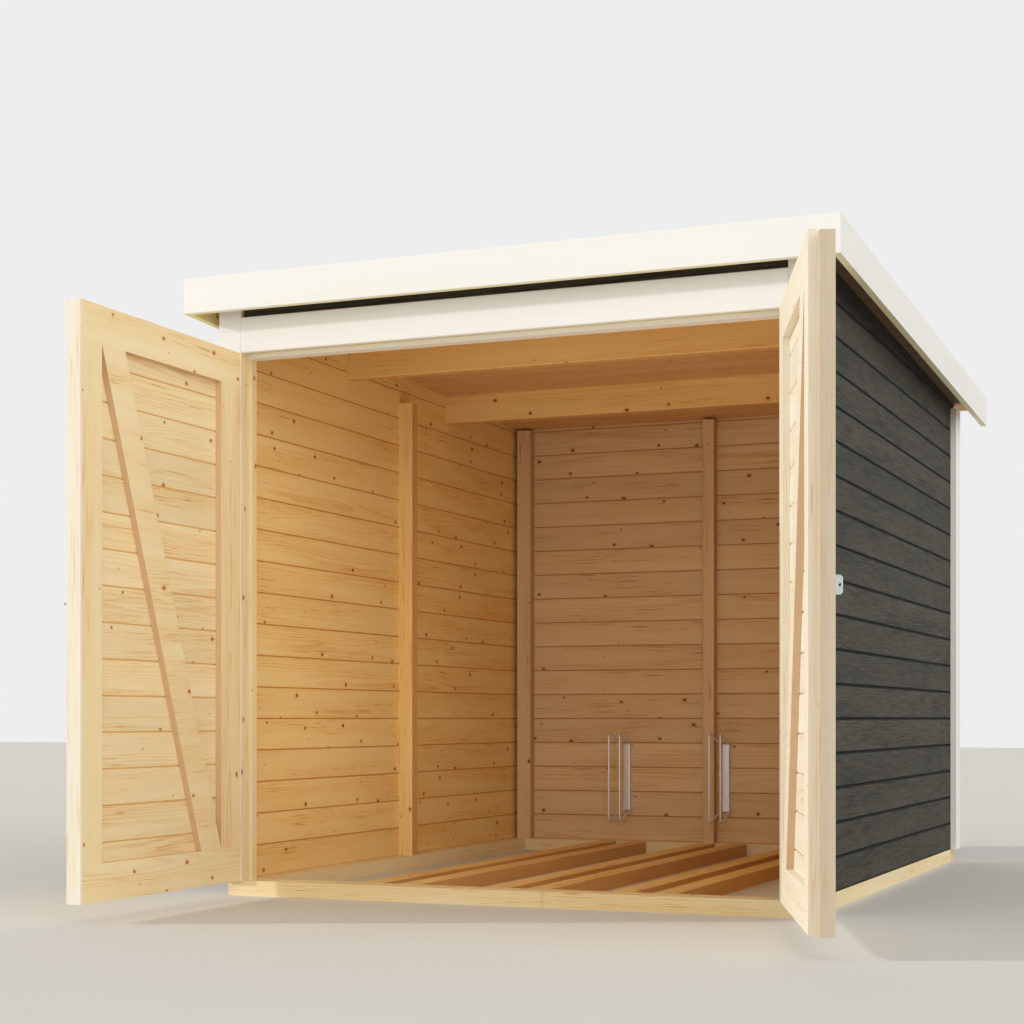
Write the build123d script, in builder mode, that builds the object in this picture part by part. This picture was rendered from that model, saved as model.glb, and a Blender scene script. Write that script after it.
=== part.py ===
from build123d import *
import math
import os

os.makedirs("parts", exist_ok=True)

# A lean-to bike shelter of boarded panels with two framed and braced leaves.
# Millimetres. X runs to the right, Y to the back and Z up. The origin is the
# middle of the front sill's underside, and the leaves stand open.

# House
width = 1766.0  # over the outer faces of the side walls
depth = 2250.0  # over the front and back walls
eaves_h = 1784.0  # roof boards' underside at the front wall
roof_pitch = 2.3  # degrees, falling to the back
wall_t = 19.0
board_module = 96.4  # one wall board
joint_depth = 3.0  # V joint between two boards

# Sills and wheel rails
sill_w = 78.0
sill_h = 45.0
rail_w = 65.0
rail_h = 45.0
channel_w = 60.0  # wheel channel between two rails
channel_pitch = 390.0
middle_channel_x = 15.0
arris = 2.0  # planed edge of a timber

# Corner boards, doorway and posts
trim_t = 20.0
trim_w = 75.0
header_drop = 68.0  # from the roof boards' underside to the header board
header_h = 105.0
header_t = 20.0
head_show = 11.0  # door head below the header board
head_h = 95.0
head_d = 45.0
jamb_lining = 12.5  # jamb behind the door head's front face, before its stop
stop_d = 33.0
stop_reach = 42.0  # stop from the wall's inner face to the doorway
stud_w = 45.0
stud_d = 50.0
stud_setback = 1130.0  # side stud's front face, behind the front wall's outer face
stud_drop = 146.0  # from the roof boards' underside to a side stud's top
back_trim_gap = 25.0  # between a back corner board's top and the roof boards
corner_stud_w = 58.0
corner_stud_gap = 16.0
back_stud_d = 45.0
middle_stud_w = 46.0
middle_stud_x = -47.0
back_stud_gap = 8.0  # between a back stud's top and the roof boards

# Roof
purlin_w = 45.0
purlin_h = 98.0
purlin_setbacks = (724.0, 1529.0)  # front faces, behind the front wall's outer face
deck_t = 19.0
felt_t = 3.0
deck_board = 120.0  # one roof board
front_overhang = 67.0
side_overhang = 80.0
back_overhang = 125.0
fascia_t = 20.0
fascia_h = 105.0
fascia_lip = 21.0  # fascia above the felt at the front

# Leaves
edge_gap = 5.0  # between a leaf's hinge edge and the corner board
meeting_gap = 7.0
sill_gap = 5.0
header_gap = 9.0
stop_gap = 6.0  # between a shut leaf and the jambs' stops
frame_t = 19.0
leaf_board_t = 23.5
leaf_rail_h = 100.0
hinge_stile_w = 107.0
free_stile_w = 96.0
brace_w = 101.0
edge_strip_w = 8.0  # upright strip that closes a leaf's free edge
leaf_joint = 55.0  # first V joint above a leaf's foot
meeting_w = 90.0
meeting_t = 36.0
meeting_overhang = 45.0
meeting_short = 12.0  # meeting batten below the leaf's top
left_open = 90.0  # degrees at rest
right_open = 109.0  # degrees at rest

# Strap hinges on plate pintles
pin_d = 9.0
pin_play = 0.06  # radial
strap_t = 3.0
strap_h = 40.0
strap_tip_h = 26.0
strap_l = 420.0
roll_slit = 0.6
plate_w = 44.0
plate_h = 110.0
plate_t = 3.0
plate_drop = 60.0  # plate below the eye
plate_corner = 5.0
eye_gap = 0.5  # between the eye and the plate
eye_lift = 0.3  # between the eye and the lug
lug_h = 12.0
pin_top = 5.0  # pin above the eye
hinge_edge = 28.0  # from the pin's axis to the leaf's edge
hinge_inset = 150.0  # from a leaf's top or foot to the strap's middle

# Lock plate and stud
lock_z = 818.0
lock_h = 43.0
lock_reach = 16.0
lock_base_w = 30.0
lock_plate_t = 2.5
lock_hole_d = 7.0
lock_chamfer = 5.0
lock_inset = 3.0
lock_stud_d = 6.0
lock_stud_l = 15.0
lock_stud_z = 822.0
lock_stud_inset = 11.0

# Wheel holders
holder_w = 30.0
holder_d = 20.0
holder_h = 260.0
holder_t = 2.5
holder_z = 166.0
holder_corner = 4.0
wire_d = 8.0
wire_weld = 1.0  # wire let into the channel's flange
wire_spread = 22.0  # wire's centre from the channel's middle, at the front
wire_reach = 166.0  # from the wall to the wire's upright run
wire_wall_gap = 2.0
wire_low = 124.0
wire_high = 474.0
wire_bend = 22.0
wire_sides = 12

# Places worked out from the sizes
front_y = -sill_w / 2
back_y = front_y + depth
outer_x = width / 2
inner_x = outer_x - wall_t
slope = math.tan(math.radians(roof_pitch))
roof_under = Plane(
    origin=(0, front_y, eaves_h),
    x_dir=(1, 0, 0),
    z_dir=(0, math.sin(math.radians(roof_pitch)), math.cos(math.radians(roof_pitch))),
)
above_roof = eaves_h + 4 * deck_t
header_z = eaves_h - header_drop - header_h
head_z = header_z - head_show
opening_x = outer_x + trim_t - trim_w
deck_x = outer_x + side_overhang
deck_front = front_y - front_overhang
deck_back = back_y + back_overhang
deck_rise = deck_t / math.cos(math.radians(roof_pitch))
felt_rise = felt_t / math.cos(math.radians(roof_pitch))

eye_r = pin_d / 2 + pin_play + strap_t
pin_out = plate_t + eye_gap + eye_r
pin_x = opening_x - edge_gap + hinge_edge
pin_y = front_y - trim_t - pin_out
leaf_w = (2 * (opening_x - edge_gap) - meeting_gap - meeting_overhang) / 2
leaf_foot = sill_h + sill_gap
leaf_top = header_z - header_gap
board_v = strap_t / 2
frame_v = board_v + leaf_board_t
leaf_v = frame_v + frame_t
stop_y = pin_y + leaf_v + stop_gap
hinge_heights = (leaf_foot + hinge_inset, leaf_top - hinge_inset)
sides = {"left": -1, "right": 1}
opened = {"left": left_open, "right": right_open}


def roof_z(y):
    """Height of the roof boards' underside at a place from front to back."""
    return eaves_h - slope * (y - front_y)


def joints(low, high, first):
    """Heights of the V joints of stacked boards between two heights."""
    last = math.floor((high - first) / board_module)
    heights = [first + k * board_module for k in range(last + 1)]
    return [z for z in heights if z > low + joint_depth]


def block(x_span, y_span, z_span):
    """A squared timber inside the open part."""
    with BuildSketch(Plane.XY.offset(z_span[0])) as foot:
        with Locations((sum(x_span) / 2, sum(y_span) / 2)):
            Rectangle(x_span[1] - x_span[0], y_span[1] - y_span[0])
    extrude(foot.sketch, amount=z_span[1] - z_span[0])


def boarding(near, far, low, high, first):
    """Section of stacked boards in the open sketch, with V joints on both faces."""
    with Locations(((near + far) / 2, (low + high) / 2)):
        Rectangle(far - near, high - low)
    cuts = [(face, z) for face in (near, far) for z in joints(low, high, first)]
    if cuts:
        with Locations(*cuts):
            Rectangle(
                joint_depth * math.sqrt(2),
                joint_depth * math.sqrt(2),
                rotation=45,
                mode=Mode.SUBTRACT,
            )


def under_roof():
    """Bevel the open part to the underside of the roof boards."""
    split(bisect_by=roof_under, keep=Keep.BOTTOM)


def ease(edges):
    """Plane the sharp arrises off a timber."""
    chamfer(edges, length=arris)


def along(side):
    """Direction from a leaf's pin to its free edge, at rest."""
    turn = math.radians(opened[side]) * sides[side]
    return Vector(-sides[side] * math.cos(turn), -sides[side] * math.sin(turn), 0)


def inward(side):
    """Direction to the face of a leaf that looks inside when it is shut."""
    turn = math.radians(opened[side]) * sides[side]
    return Vector(-math.sin(turn), math.cos(turn), 0)


def leaf_section(side, z):
    """Level plane at a leaf's pin: X to the free edge."""
    return Plane(origin=(sides[side] * pin_x, pin_y, z), x_dir=along(side), z_dir=(0, 0, 1))


def leaf_face(side, v):
    """Upright plane of a leaf, v behind its pin: X to the free edge and Y up."""
    foot = Vector(sides[side] * pin_x, pin_y, 0) + inward(side) * v
    return Plane(origin=foot, x_dir=along(side), z_dir=along(side).cross(Vector(0, 0, 1)))


def leaf_block(side, u_span, v_span, z_span):
    """A squared timber of a leaf inside the open part."""
    with BuildSketch(leaf_section(side, z_span[0])) as foot:
        with Locations((sum(u_span) / 2, -sides[side] * sum(v_span) / 2)):
            Rectangle(u_span[1] - u_span[0], v_span[1] - v_span[0])
    extrude(foot.sketch, amount=z_span[1] - z_span[0])


def save(piece, label):
    """Label a finished piece and write it."""
    piece.part.label = label
    export_step(piece.part, f"parts/{label}.step")


# Sills
sill_back_y = back_y - sill_w
with BuildPart() as sill_front:
    block((-outer_x, outer_x), (front_y, front_y + sill_w), (0, sill_h))
save(sill_front, "sill_front")

with BuildPart() as sill_back:
    block((-outer_x, outer_x), (sill_back_y, back_y), (0, sill_h))
save(sill_back, "sill_back")

for side, sign in sides.items():
    with BuildPart() as sill_side:
        x_span = sorted((sign * outer_x, sign * (outer_x - sill_w)))
        block(x_span, (front_y + sill_w, sill_back_y), (0, sill_h))
    save(sill_side, f"sill_{side}")

# Wheel rails, two to a channel
channels = {"left": -channel_pitch, "middle": middle_channel_x, "right": channel_pitch}
rail_y = (front_y + sill_w, sill_back_y)
for name, x in channels.items():
    for edge, sign in sides.items():
        with BuildPart() as wheel_rail:
            x_span = sorted((x + sign * channel_w / 2, x + sign * (channel_w / 2 + rail_w)))
            block(x_span, rail_y, (0, rail_h))
            ease(wheel_rail.edges().filter_by(Axis.Y).group_by(Axis.Z)[-1])
        save(wheel_rail, f"wheel_rail_{name}_{edge}")

# Walls of stacked boards
for side, sign in sides.items():
    with BuildPart() as wall_side:
        with BuildSketch(Plane.XZ.offset(-front_y)):
            near, far = sorted((sign * inner_x, sign * outer_x))
            boarding(near, far, sill_h, above_roof, sill_h + board_module)
        extrude(amount=-depth)
        under_roof()
    save(wall_side, f"wall_{side}")

with BuildPart() as wall_back:
    with BuildSketch(Plane.YZ.offset(-inner_x)):
        boarding(back_y - wall_t, back_y, sill_h, above_roof, sill_h + board_module)
    extrude(amount=2 * inner_x)
    under_roof()
save(wall_back, "wall_back")

# Front above the doorway
with BuildPart() as front_panel:
    block((-inner_x, inner_x), (front_y, stop_y), (header_z, above_roof))
    under_roof()
save(front_panel, "front_panel")

with BuildPart() as door_head:
    block((-inner_x, inner_x), (stop_y, stop_y + head_d), (head_z, head_z + head_h))
    ease(door_head.edges().filter_by(Axis.X).group_by(Axis.Z)[0].sort_by(Axis.Y)[-1:])
save(door_head, "door_head")

with BuildPart() as header_board:
    block((-opening_x, opening_x), (front_y - header_t, front_y), (header_z, header_z + header_h))
    ease(header_board.edges().filter_by(Axis.X).group_by(Axis.Y)[0])
save(header_board, "header_board")

# Jambs with a lining and a stop
jamb_y = stop_y + jamb_lining
for side, sign in sides.items():
    with BuildPart() as jamb:
        lining_span = sorted((sign * opening_x, sign * inner_x))
        block(lining_span, (front_y, stop_y), (sill_h, header_z))
        block(lining_span, (stop_y, jamb_y), (sill_h, head_z))
        stop_span = sorted((sign * (inner_x - stop_reach), sign * inner_x))
        block(stop_span, (jamb_y, jamb_y + stop_d), (sill_h, head_z))
        doorway_edges = jamb.edges().filter_by(Axis.Z).group_by(Axis.X)
        ease(doorway_edges[0] if sign > 0 else doorway_edges[-1])
    save(jamb, f"jamb_{side}")

# Corner boards
for side, sign in sides.items():
    for end, face_y, out in (("front", front_y, -1), ("back", back_y, 1)):
        with BuildPart() as corner_trim:
            with BuildSketch(Plane.XY.offset(sill_h)):
                with Locations((sign * (opening_x + trim_w / 2), face_y + out * trim_t / 2)):
                    Rectangle(trim_w, trim_t)
                with Locations((sign * (outer_x + trim_t / 2), face_y - out * trim_w / 2)):
                    Rectangle(trim_t, trim_w)
            trim_top = above_roof if end == "front" else roof_z(back_y) - back_trim_gap
            extrude(amount=trim_top - sill_h)
            ease(corner_trim.edges().filter_by(Axis.Z).group_by(Axis.Y)[0 if out < 0 else -1])
            under_roof()
        save(corner_trim, f"corner_trim_{end}_{side}")

# Studs that stiffen the boarding
for side, sign in sides.items():
    with BuildPart() as side_stud:
        x_span = sorted((sign * inner_x, sign * (inner_x - stud_d)))
        stud_front = front_y + stud_setback
        block(x_span, (stud_front, stud_front + stud_w), (sill_h, eaves_h - stud_drop))
        ease(side_stud.edges().filter_by(Axis.Z).group_by(Axis.X)[-1 if sign < 0 else 0])
    save(side_stud, f"stud_side_{side}")

back_stud_y = (back_y - wall_t - back_stud_d, back_y - wall_t)
back_stud_top = roof_z(back_y - wall_t) - back_stud_gap
for side, sign in sides.items():
    with BuildPart() as corner_stud:
        wall_edge = inner_x - corner_stud_gap
        x_span = sorted((sign * wall_edge, sign * (wall_edge - corner_stud_w)))
        block(x_span, back_stud_y, (sill_h, back_stud_top))
        ease(corner_stud.edges().filter_by(Axis.Z).group_by(Axis.Y)[0])
    save(corner_stud, f"stud_back_{side}")

with BuildPart() as middle_stud:
    half = middle_stud_w / 2
    block((middle_stud_x - half, middle_stud_x + half), back_stud_y, (sill_h, back_stud_top))
    ease(middle_stud.edges().filter_by(Axis.Z).group_by(Axis.Y)[0])
save(middle_stud, "stud_back_middle")

# Purlins
for name, setback in zip(("front", "back"), purlin_setbacks):
    with BuildPart() as purlin:
        y = front_y + setback
        foot = roof_z(y) - purlin_h
        block((-inner_x, inner_x), (y, y + purlin_w), (foot, above_roof))
        ease(purlin.edges().filter_by(Axis.X).group_by(Axis.Z)[0])
        under_roof()
    save(purlin, f"purlin_{name}")

# Roof boards with V joints below, and felt over them
with BuildPart() as roof_deck:
    with BuildSketch(Plane.YZ.offset(-deck_x)):
        with BuildLine():
            Polyline(
                (deck_front, roof_z(deck_front)),
                (deck_back, roof_z(deck_back)),
                (deck_back, roof_z(deck_back) + deck_rise),
                (deck_front, roof_z(deck_front) + deck_rise),
                close=True,
            )
        make_face()
        deck_joints = int((deck_back - deck_front - joint_depth) / deck_board)
        seams = [deck_front + k * deck_board for k in range(1, deck_joints + 1)]
        with Locations(*[(y, roof_z(y)) for y in seams]):
            Rectangle(
                joint_depth * math.sqrt(2),
                joint_depth * math.sqrt(2),
                rotation=45,
                mode=Mode.SUBTRACT,
            )
    extrude(amount=2 * deck_x)
save(roof_deck, "roof_deck")

with BuildPart() as roof_felt:
    with BuildSketch(Plane.YZ.offset(-deck_x)):
        with BuildLine():
            Polyline(
                (deck_front, roof_z(deck_front) + deck_rise),
                (deck_back, roof_z(deck_back) + deck_rise),
                (deck_back, roof_z(deck_back) + deck_rise + felt_rise),
                (deck_front, roof_z(deck_front) + deck_rise + felt_rise),
                close=True,
            )
        make_face()
    extrude(amount=2 * deck_x)
save(roof_felt, "roof_felt")

# Fascia boards
fascia_top = roof_z(deck_front) + deck_rise + felt_rise + fascia_lip
fascia_fall = slope * (deck_back - deck_front)
with BuildPart() as fascia_front:
    fascia_x = deck_x + fascia_t
    fascia_z = (fascia_top - fascia_h, fascia_top)
    block((-fascia_x, fascia_x), (deck_front - fascia_t, deck_front), fascia_z)
    ease(fascia_front.edges().filter_by(Axis.X).group_by(Axis.Y)[0])
save(fascia_front, "fascia_front")

for side, sign in sides.items():
    with BuildPart() as fascia_side:
        with BuildSketch(Plane.YZ.offset(sign * deck_x)):
            with BuildLine():
                Polyline(
                    (deck_front, fascia_top),
                    (deck_front, fascia_top - fascia_h),
                    (deck_back, fascia_top - fascia_h - fascia_fall),
                    (deck_back, fascia_top - fascia_fall),
                    close=True,
                )
            make_face()
        extrude(amount=sign * fascia_t)
    save(fascia_side, f"fascia_{side}")

# Leaves
edge_u = hinge_edge
free_u = hinge_edge + leaf_w
strip_u = free_u - edge_strip_w
for side, sign in sides.items():
    boards_end = strip_u if side == "left" else free_u + meeting_overhang - meeting_w
    with BuildPart() as leaf_boards:
        with BuildSketch(Plane(
            origin=leaf_section(side, 0).from_local_coords((edge_u, 0, 0)),
            x_dir=inward(side),
            z_dir=inward(side).cross(Vector(0, 0, 1)),
        )):
            boarding(board_v, frame_v, leaf_foot, leaf_top, leaf_foot + leaf_joint)
        extrude(amount=-sign * (boards_end - edge_u))
    save(leaf_boards, f"{side}_leaf_boards")

    frame_span = (frame_v, leaf_v)
    rail_levels = {"bottom": leaf_foot, "top": leaf_top - leaf_rail_h}
    for name, z in rail_levels.items():
        with BuildPart() as leaf_rail:
            leaf_block(side, (edge_u, strip_u), frame_span, (z, z + leaf_rail_h))
        save(leaf_rail, f"{side}_leaf_rail_{name}")

    stile_z = (leaf_foot + leaf_rail_h, leaf_top - leaf_rail_h)
    stile_spans = {
        "hinge": (edge_u, edge_u + hinge_stile_w),
        "free": (free_u - free_stile_w, strip_u),
    }
    for name, u_span in stile_spans.items():
        with BuildPart() as leaf_stile:
            leaf_block(side, u_span, frame_span, stile_z)
        save(leaf_stile, f"{side}_leaf_stile_{name}")

    # The strip covers the boards' ends too, but where the meeting batten is.
    strip_v = (board_v, leaf_v) if side == "left" else frame_span
    with BuildPart() as edge_strip:
        leaf_block(side, (strip_u, free_u), strip_v, (leaf_foot, leaf_top))
    save(edge_strip, f"{side}_leaf_edge")

    # The brace rises from the foot of the hinge stile to the head of the free one.
    run = leaf_w - hinge_stile_w - free_stile_w
    rise = stile_z[1] - stile_z[0]
    spare = rise ** 2 - brace_w ** 2
    root = math.sqrt(brace_w ** 4 * run ** 2 + spare * brace_w ** 2 * (rise ** 2 + run ** 2))
    brace_cut = (root - brace_w ** 2 * run) / spare
    foot_u = edge_u + hinge_stile_w
    head_u = free_u - free_stile_w
    with BuildPart() as leaf_brace:
        with BuildSketch(leaf_face(side, frame_v)):
            with BuildLine():
                Polyline(
                    (foot_u, stile_z[0]),
                    (foot_u + brace_cut, stile_z[0]),
                    (head_u, stile_z[1]),
                    (head_u - brace_cut, stile_z[1]),
                    close=True,
                )
            make_face()
        extrude(amount=sign * frame_t)
    save(leaf_brace, f"{side}_leaf_brace")

    # Strap hinges: each strap is rolled into an eye round the pin.
    with BuildPart() as straps:
        for z in hinge_heights:
            with BuildSketch(leaf_section(side, z - strap_h / 2)):
                Circle(eye_r)
                with Locations((eye_r, 0)):
                    Rectangle(2 * strap_t, strap_t)
                Circle(pin_d / 2 + pin_play, mode=Mode.SUBTRACT)
                with Locations((eye_r, sign * (strap_t + roll_slit) / 2)):
                    Rectangle(2 * eye_r, roll_slit, mode=Mode.SUBTRACT)
            extrude(amount=strap_h)
            with BuildSketch(leaf_face(side, -strap_t / 2)):
                with BuildLine():
                    root_u = eye_r + strap_t / 2
                    tip_u = strap_l - strap_tip_h / 2
                    low_root = (root_u, z - strap_h / 2)
                    high_root = (root_u, z + strap_h / 2)
                    low_tip = (tip_u, z - strap_tip_h / 2)
                    high_tip = (tip_u, z + strap_tip_h / 2)
                    Polyline(high_tip, high_root, low_root, low_tip)
                    ThreePointArc(low_tip, (strap_l, z), high_tip)
                make_face()
            extrude(amount=sign * strap_t)
    save(straps, f"{side}_strap_hinges")

    # Plate pintles that carry the straps
    with BuildPart() as pintles:
        for z in hinge_heights:
            eye_foot = z - strap_h / 2
            plate_mid = eye_foot - plate_drop + plate_h / 2
            with BuildSketch(Plane.XZ.offset(trim_t - front_y)):
                with Locations((sign * pin_x, plate_mid)):
                    RectangleRounded(plate_w, plate_h, plate_corner)
            extrude(amount=plate_t)
            with BuildSketch(Plane.XY.offset(eye_foot - eye_lift - lug_h)):
                with Locations((sign * pin_x, pin_y)):
                    Circle(eye_r)
                with Locations((sign * pin_x, pin_y + pin_out / 2)):
                    Rectangle(2 * eye_r, pin_out)
            extrude(amount=lug_h)
            with BuildSketch(Plane.XY.offset(eye_foot - eye_lift)):
                with Locations((sign * pin_x, pin_y)):
                    Circle(pin_d / 2)
            extrude(amount=eye_lift + strap_h + pin_top)
            chamfer(pintles.edges().filter_by(GeomType.CIRCLE).sort_by(Axis.Z)[-1], length=pin_d / 9)
    save(pintles, f"hinge_pintles_{side}")

# Meeting batten on the right leaf, over the gap between the leaves
batten_v = (frame_v - meeting_t, frame_v)
batten_u = (free_u + meeting_overhang - meeting_w, free_u + meeting_overhang)
with BuildPart() as meeting_batten:
    leaf_block("right", batten_u, batten_v, (leaf_foot, leaf_top - meeting_short))
    ease(meeting_batten.edges().filter_by(Axis.Z))
save(meeting_batten, "right_meeting_batten")

# Folded lock plate on the batten, and the stud on the other leaf
lock_u = batten_u[1] - lock_inset
with BuildPart() as lock_plate:
    leaf_block(
        "right",
        (lock_u - lock_base_w, lock_u),
        (batten_v[0] - lock_plate_t, batten_v[0]),
        (lock_z - lock_h / 2, lock_z + lock_h / 2),
    )
    tab_foot = leaf_face("right", batten_v[0]).from_local_coords((lock_u, lock_z, 0))
    with BuildSketch(Plane(origin=tab_foot, x_dir=-inward("right"), z_dir=along("right"))) as tab:
        Rectangle(lock_reach, lock_h, align=(Align.MIN, Align.CENTER))
        chamfer(tab.vertices().group_by(Axis.X)[-1], length=lock_chamfer)
        with Locations(((lock_reach + lock_plate_t) / 2, 0)):
            Circle(lock_hole_d / 2, mode=Mode.SUBTRACT)
    extrude(amount=-lock_plate_t)
save(lock_plate, "right_lock_plate")

with BuildPart() as lock_stud:
    with BuildSketch(leaf_face("left", board_v)):
        with Locations((free_u - lock_stud_inset, lock_stud_z)):
            Circle(lock_stud_d / 2)
    extrude(amount=lock_stud_l)
    chamfer(lock_stud.edges().filter_by(GeomType.CIRCLE).sort_by(Axis.X)[0], length=lock_stud_d / 6)
save(lock_stud, "left_lock_stud")

# Wheel holders: two bent wires welded to a folded channel on the back wall
holder_face = back_y - wall_t
wire_root = holder_w / 2 + wire_d / 2 - wire_weld
for name, x in channels.items():
    with BuildPart() as wheel_holder:
        with BuildSketch(Plane.XY.offset(holder_z)) as channel:
            with Locations((x, holder_face - holder_d / 2)):
                Rectangle(holder_w, holder_d)
            fillet(channel.vertices().group_by(Axis.Y)[0], radius=holder_corner)
            with Locations((x, holder_face - (holder_d - holder_t) / 2)):
                Rectangle(holder_w - 2 * holder_t, holder_d - holder_t, mode=Mode.SUBTRACT)
        extrude(amount=holder_h)
        for sign in (-1, 1):
            root = Vector(x + sign * wire_root, holder_face - wire_wall_gap, 0)
            reach = Vector(sign * (wire_spread - wire_root), wire_wall_gap - wire_reach, 0)
            wire_plane = Plane(origin=root, x_dir=reach, z_dir=reach.cross(Vector(0, 0, 1)))
            with BuildLine(wire_plane) as wire:
                FilletPolyline(
                    (0, holder_z + holder_h - wire_d),
                    (reach.length, wire_high),
                    (reach.length, wire_low),
                    (0, holder_z + wire_d),
                    radius=wire_bend,
                )
            with BuildSketch(Plane(origin=wire.line @ 0, z_dir=wire.line % 0)):
                RegularPolygon(wire_d / 2, wire_sides)
            sweep(path=wire.line)
    save(wheel_holder, f"wheel_holder_{name}")
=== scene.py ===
"""Looks of a small timber bike shelter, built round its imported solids."""
from __future__ import annotations

import logging
import math
import zlib
from collections.abc import Mapping, Sequence
from dataclasses import dataclass, field, replace
from enum import Enum

import bmesh
import bpy
import numpy as np
from mathutils import Matrix, Vector

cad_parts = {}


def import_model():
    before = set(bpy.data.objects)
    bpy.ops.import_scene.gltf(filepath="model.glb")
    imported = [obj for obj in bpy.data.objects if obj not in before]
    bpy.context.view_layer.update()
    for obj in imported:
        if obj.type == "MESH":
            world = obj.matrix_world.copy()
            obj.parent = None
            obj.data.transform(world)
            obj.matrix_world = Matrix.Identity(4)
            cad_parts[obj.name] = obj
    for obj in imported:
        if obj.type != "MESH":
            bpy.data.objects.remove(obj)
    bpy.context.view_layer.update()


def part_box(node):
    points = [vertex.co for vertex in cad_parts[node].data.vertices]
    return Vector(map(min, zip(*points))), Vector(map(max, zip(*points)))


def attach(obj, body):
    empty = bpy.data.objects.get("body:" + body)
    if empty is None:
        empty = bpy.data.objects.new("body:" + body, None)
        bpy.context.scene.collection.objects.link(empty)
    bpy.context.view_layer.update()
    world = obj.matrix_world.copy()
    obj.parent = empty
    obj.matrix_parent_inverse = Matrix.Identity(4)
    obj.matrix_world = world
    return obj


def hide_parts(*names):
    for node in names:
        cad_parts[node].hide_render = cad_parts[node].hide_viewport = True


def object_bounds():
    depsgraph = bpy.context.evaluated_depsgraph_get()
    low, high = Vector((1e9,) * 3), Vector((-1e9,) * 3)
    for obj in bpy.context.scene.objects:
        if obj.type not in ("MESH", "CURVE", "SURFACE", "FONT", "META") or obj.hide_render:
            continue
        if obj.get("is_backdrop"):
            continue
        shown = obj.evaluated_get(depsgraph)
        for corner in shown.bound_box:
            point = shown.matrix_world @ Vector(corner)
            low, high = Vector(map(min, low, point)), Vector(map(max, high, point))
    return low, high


log = logging.getLogger("bike_shelter")

Pair = tuple[float, float]
Point = tuple[float, float, float]
Colour = tuple[float, float, float, float]


def srgb(red: int, green: int, blue: int) -> Colour:
    """Turn screen values into a linear colour.

    Args:
        red: Red from 0 to 255.
        green: Green from 0 to 255.
        blue: Blue from 0 to 255.

    Returns:
        The linear colour, opaque.
    """
    def linear(level: int) -> float:
        """Undo the screen curve for one channel."""
        share = level / 255
        return share / 12.92 if share <= 0.04045 else ((share + 0.055) / 1.055) ** 2.4

    return linear(red), linear(green), linear(blue), 1.0


def chances(name: str, count: int = 3) -> list[float]:
    """Numbers from 0 to 1 that always are the same for a name.

    Args:
        name: Any text, such as a piece's name.
        count: How many numbers.

    Returns:
        The numbers.
    """
    return list(np.random.default_rng(zlib.crc32(name.encode())).random(count))


class Side(Enum):
    """Side of the shelter, seen from the front."""

    LEFT = "left"
    RIGHT = "right"


class Slot(Enum):
    """Names of the record's material slots."""

    ZINC = "zinc"
    WIRE = "bright_wire"
    FELT = "felt"


class Level:
    """One number that a shader works out, with the usual operators."""

    def __init__(self, shader: Shader, socket: bpy.types.NodeSocket) -> None:
        """Wrap an output socket of a shader's node."""
        self.shader = shader
        self.socket = socket

    def _math(self, operation: str, *others: Number, swap: bool = False) -> Level:
        """Add one Math node.

        Args:
            operation: The node's operation.
            others: The operands after this one.
            swap: Whether the first other comes before this one.

        Returns:
            The result.
        """
        values = [self, *others]
        if swap:
            values[0], values[1] = values[1], values[0]
        made = self.shader.node(
            "ShaderNodeMath", {"operation": operation}, dict(enumerate(values))
        )
        return made["Value"]

    def __add__(self, other: Number) -> Level:
        """Add."""
        return self._math("ADD", other)

    __radd__ = __add__

    def __sub__(self, other: Number) -> Level:
        """Take away."""
        return self._math("SUBTRACT", other)

    def __rsub__(self, other: Number) -> Level:
        """Take this away from a number."""
        return self._math("SUBTRACT", other, swap=True)

    def __mul__(self, other: Number) -> Level:
        """Multiply."""
        return self._math("MULTIPLY", other)

    __rmul__ = __mul__

    def __truediv__(self, other: Number) -> Level:
        """Divide."""
        return self._math("DIVIDE", other)

    def __rtruediv__(self, other: Number) -> Level:
        """Divide a number by this."""
        return self._math("DIVIDE", other, swap=True)

    def __abs__(self) -> Level:
        """Drop the sign."""
        return self._math("ABSOLUTE")

    def floor(self) -> Level:
        """Round down."""
        return self._math("FLOOR")

    def fraction(self) -> Level:
        """Keep what is left after rounding down."""
        return self._math("FRACT")

    def root(self) -> Level:
        """Square root."""
        return self._math("SQRT")

    def most(self, other: Number) -> Level:
        """The higher of two."""
        return self._math("MAXIMUM", other)

    def rise(self, low: Number, high: Number) -> Level:
        """Smooth step.

        Args:
            low: Where the result is 0.
            high: Where the result is 1; it may lie below low.

        Returns:
            A number from 0 to 1.
        """
        made = self.shader.node(
            "ShaderNodeMapRange",
            {"interpolation_type": "SMOOTHSTEP", "clamp": True},
            {"Value": self, "From Min": low, "From Max": high},
        )
        return made["Result"]


Number = Level | float


def find_socket(sockets: Sequence[bpy.types.NodeSocket], key: object) -> bpy.types.NodeSocket:
    """Find one of a node's inputs or outputs.

    Args:
        sockets: The inputs or outputs.
        key: Place, identifier or name; of sockets with one name the enabled one counts.

    Returns:
        The socket.
    """
    if isinstance(key, int):
        return sockets[key]
    for socket in sockets:
        if socket.identifier == key or (socket.name == key and socket.enabled):
            return socket
    raise KeyError(f"there is no socket {key}")


class Made:
    """A node just made, whose outputs are read by name."""

    def __init__(self, shader: Shader, node: bpy.types.Node) -> None:
        """Wrap a node."""
        self.shader = shader
        self.node = node

    def __getitem__(self, name: str) -> Level:
        """Output of that name or identifier."""
        return Level(self.shader, find_socket(self.node.outputs, name))


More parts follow.
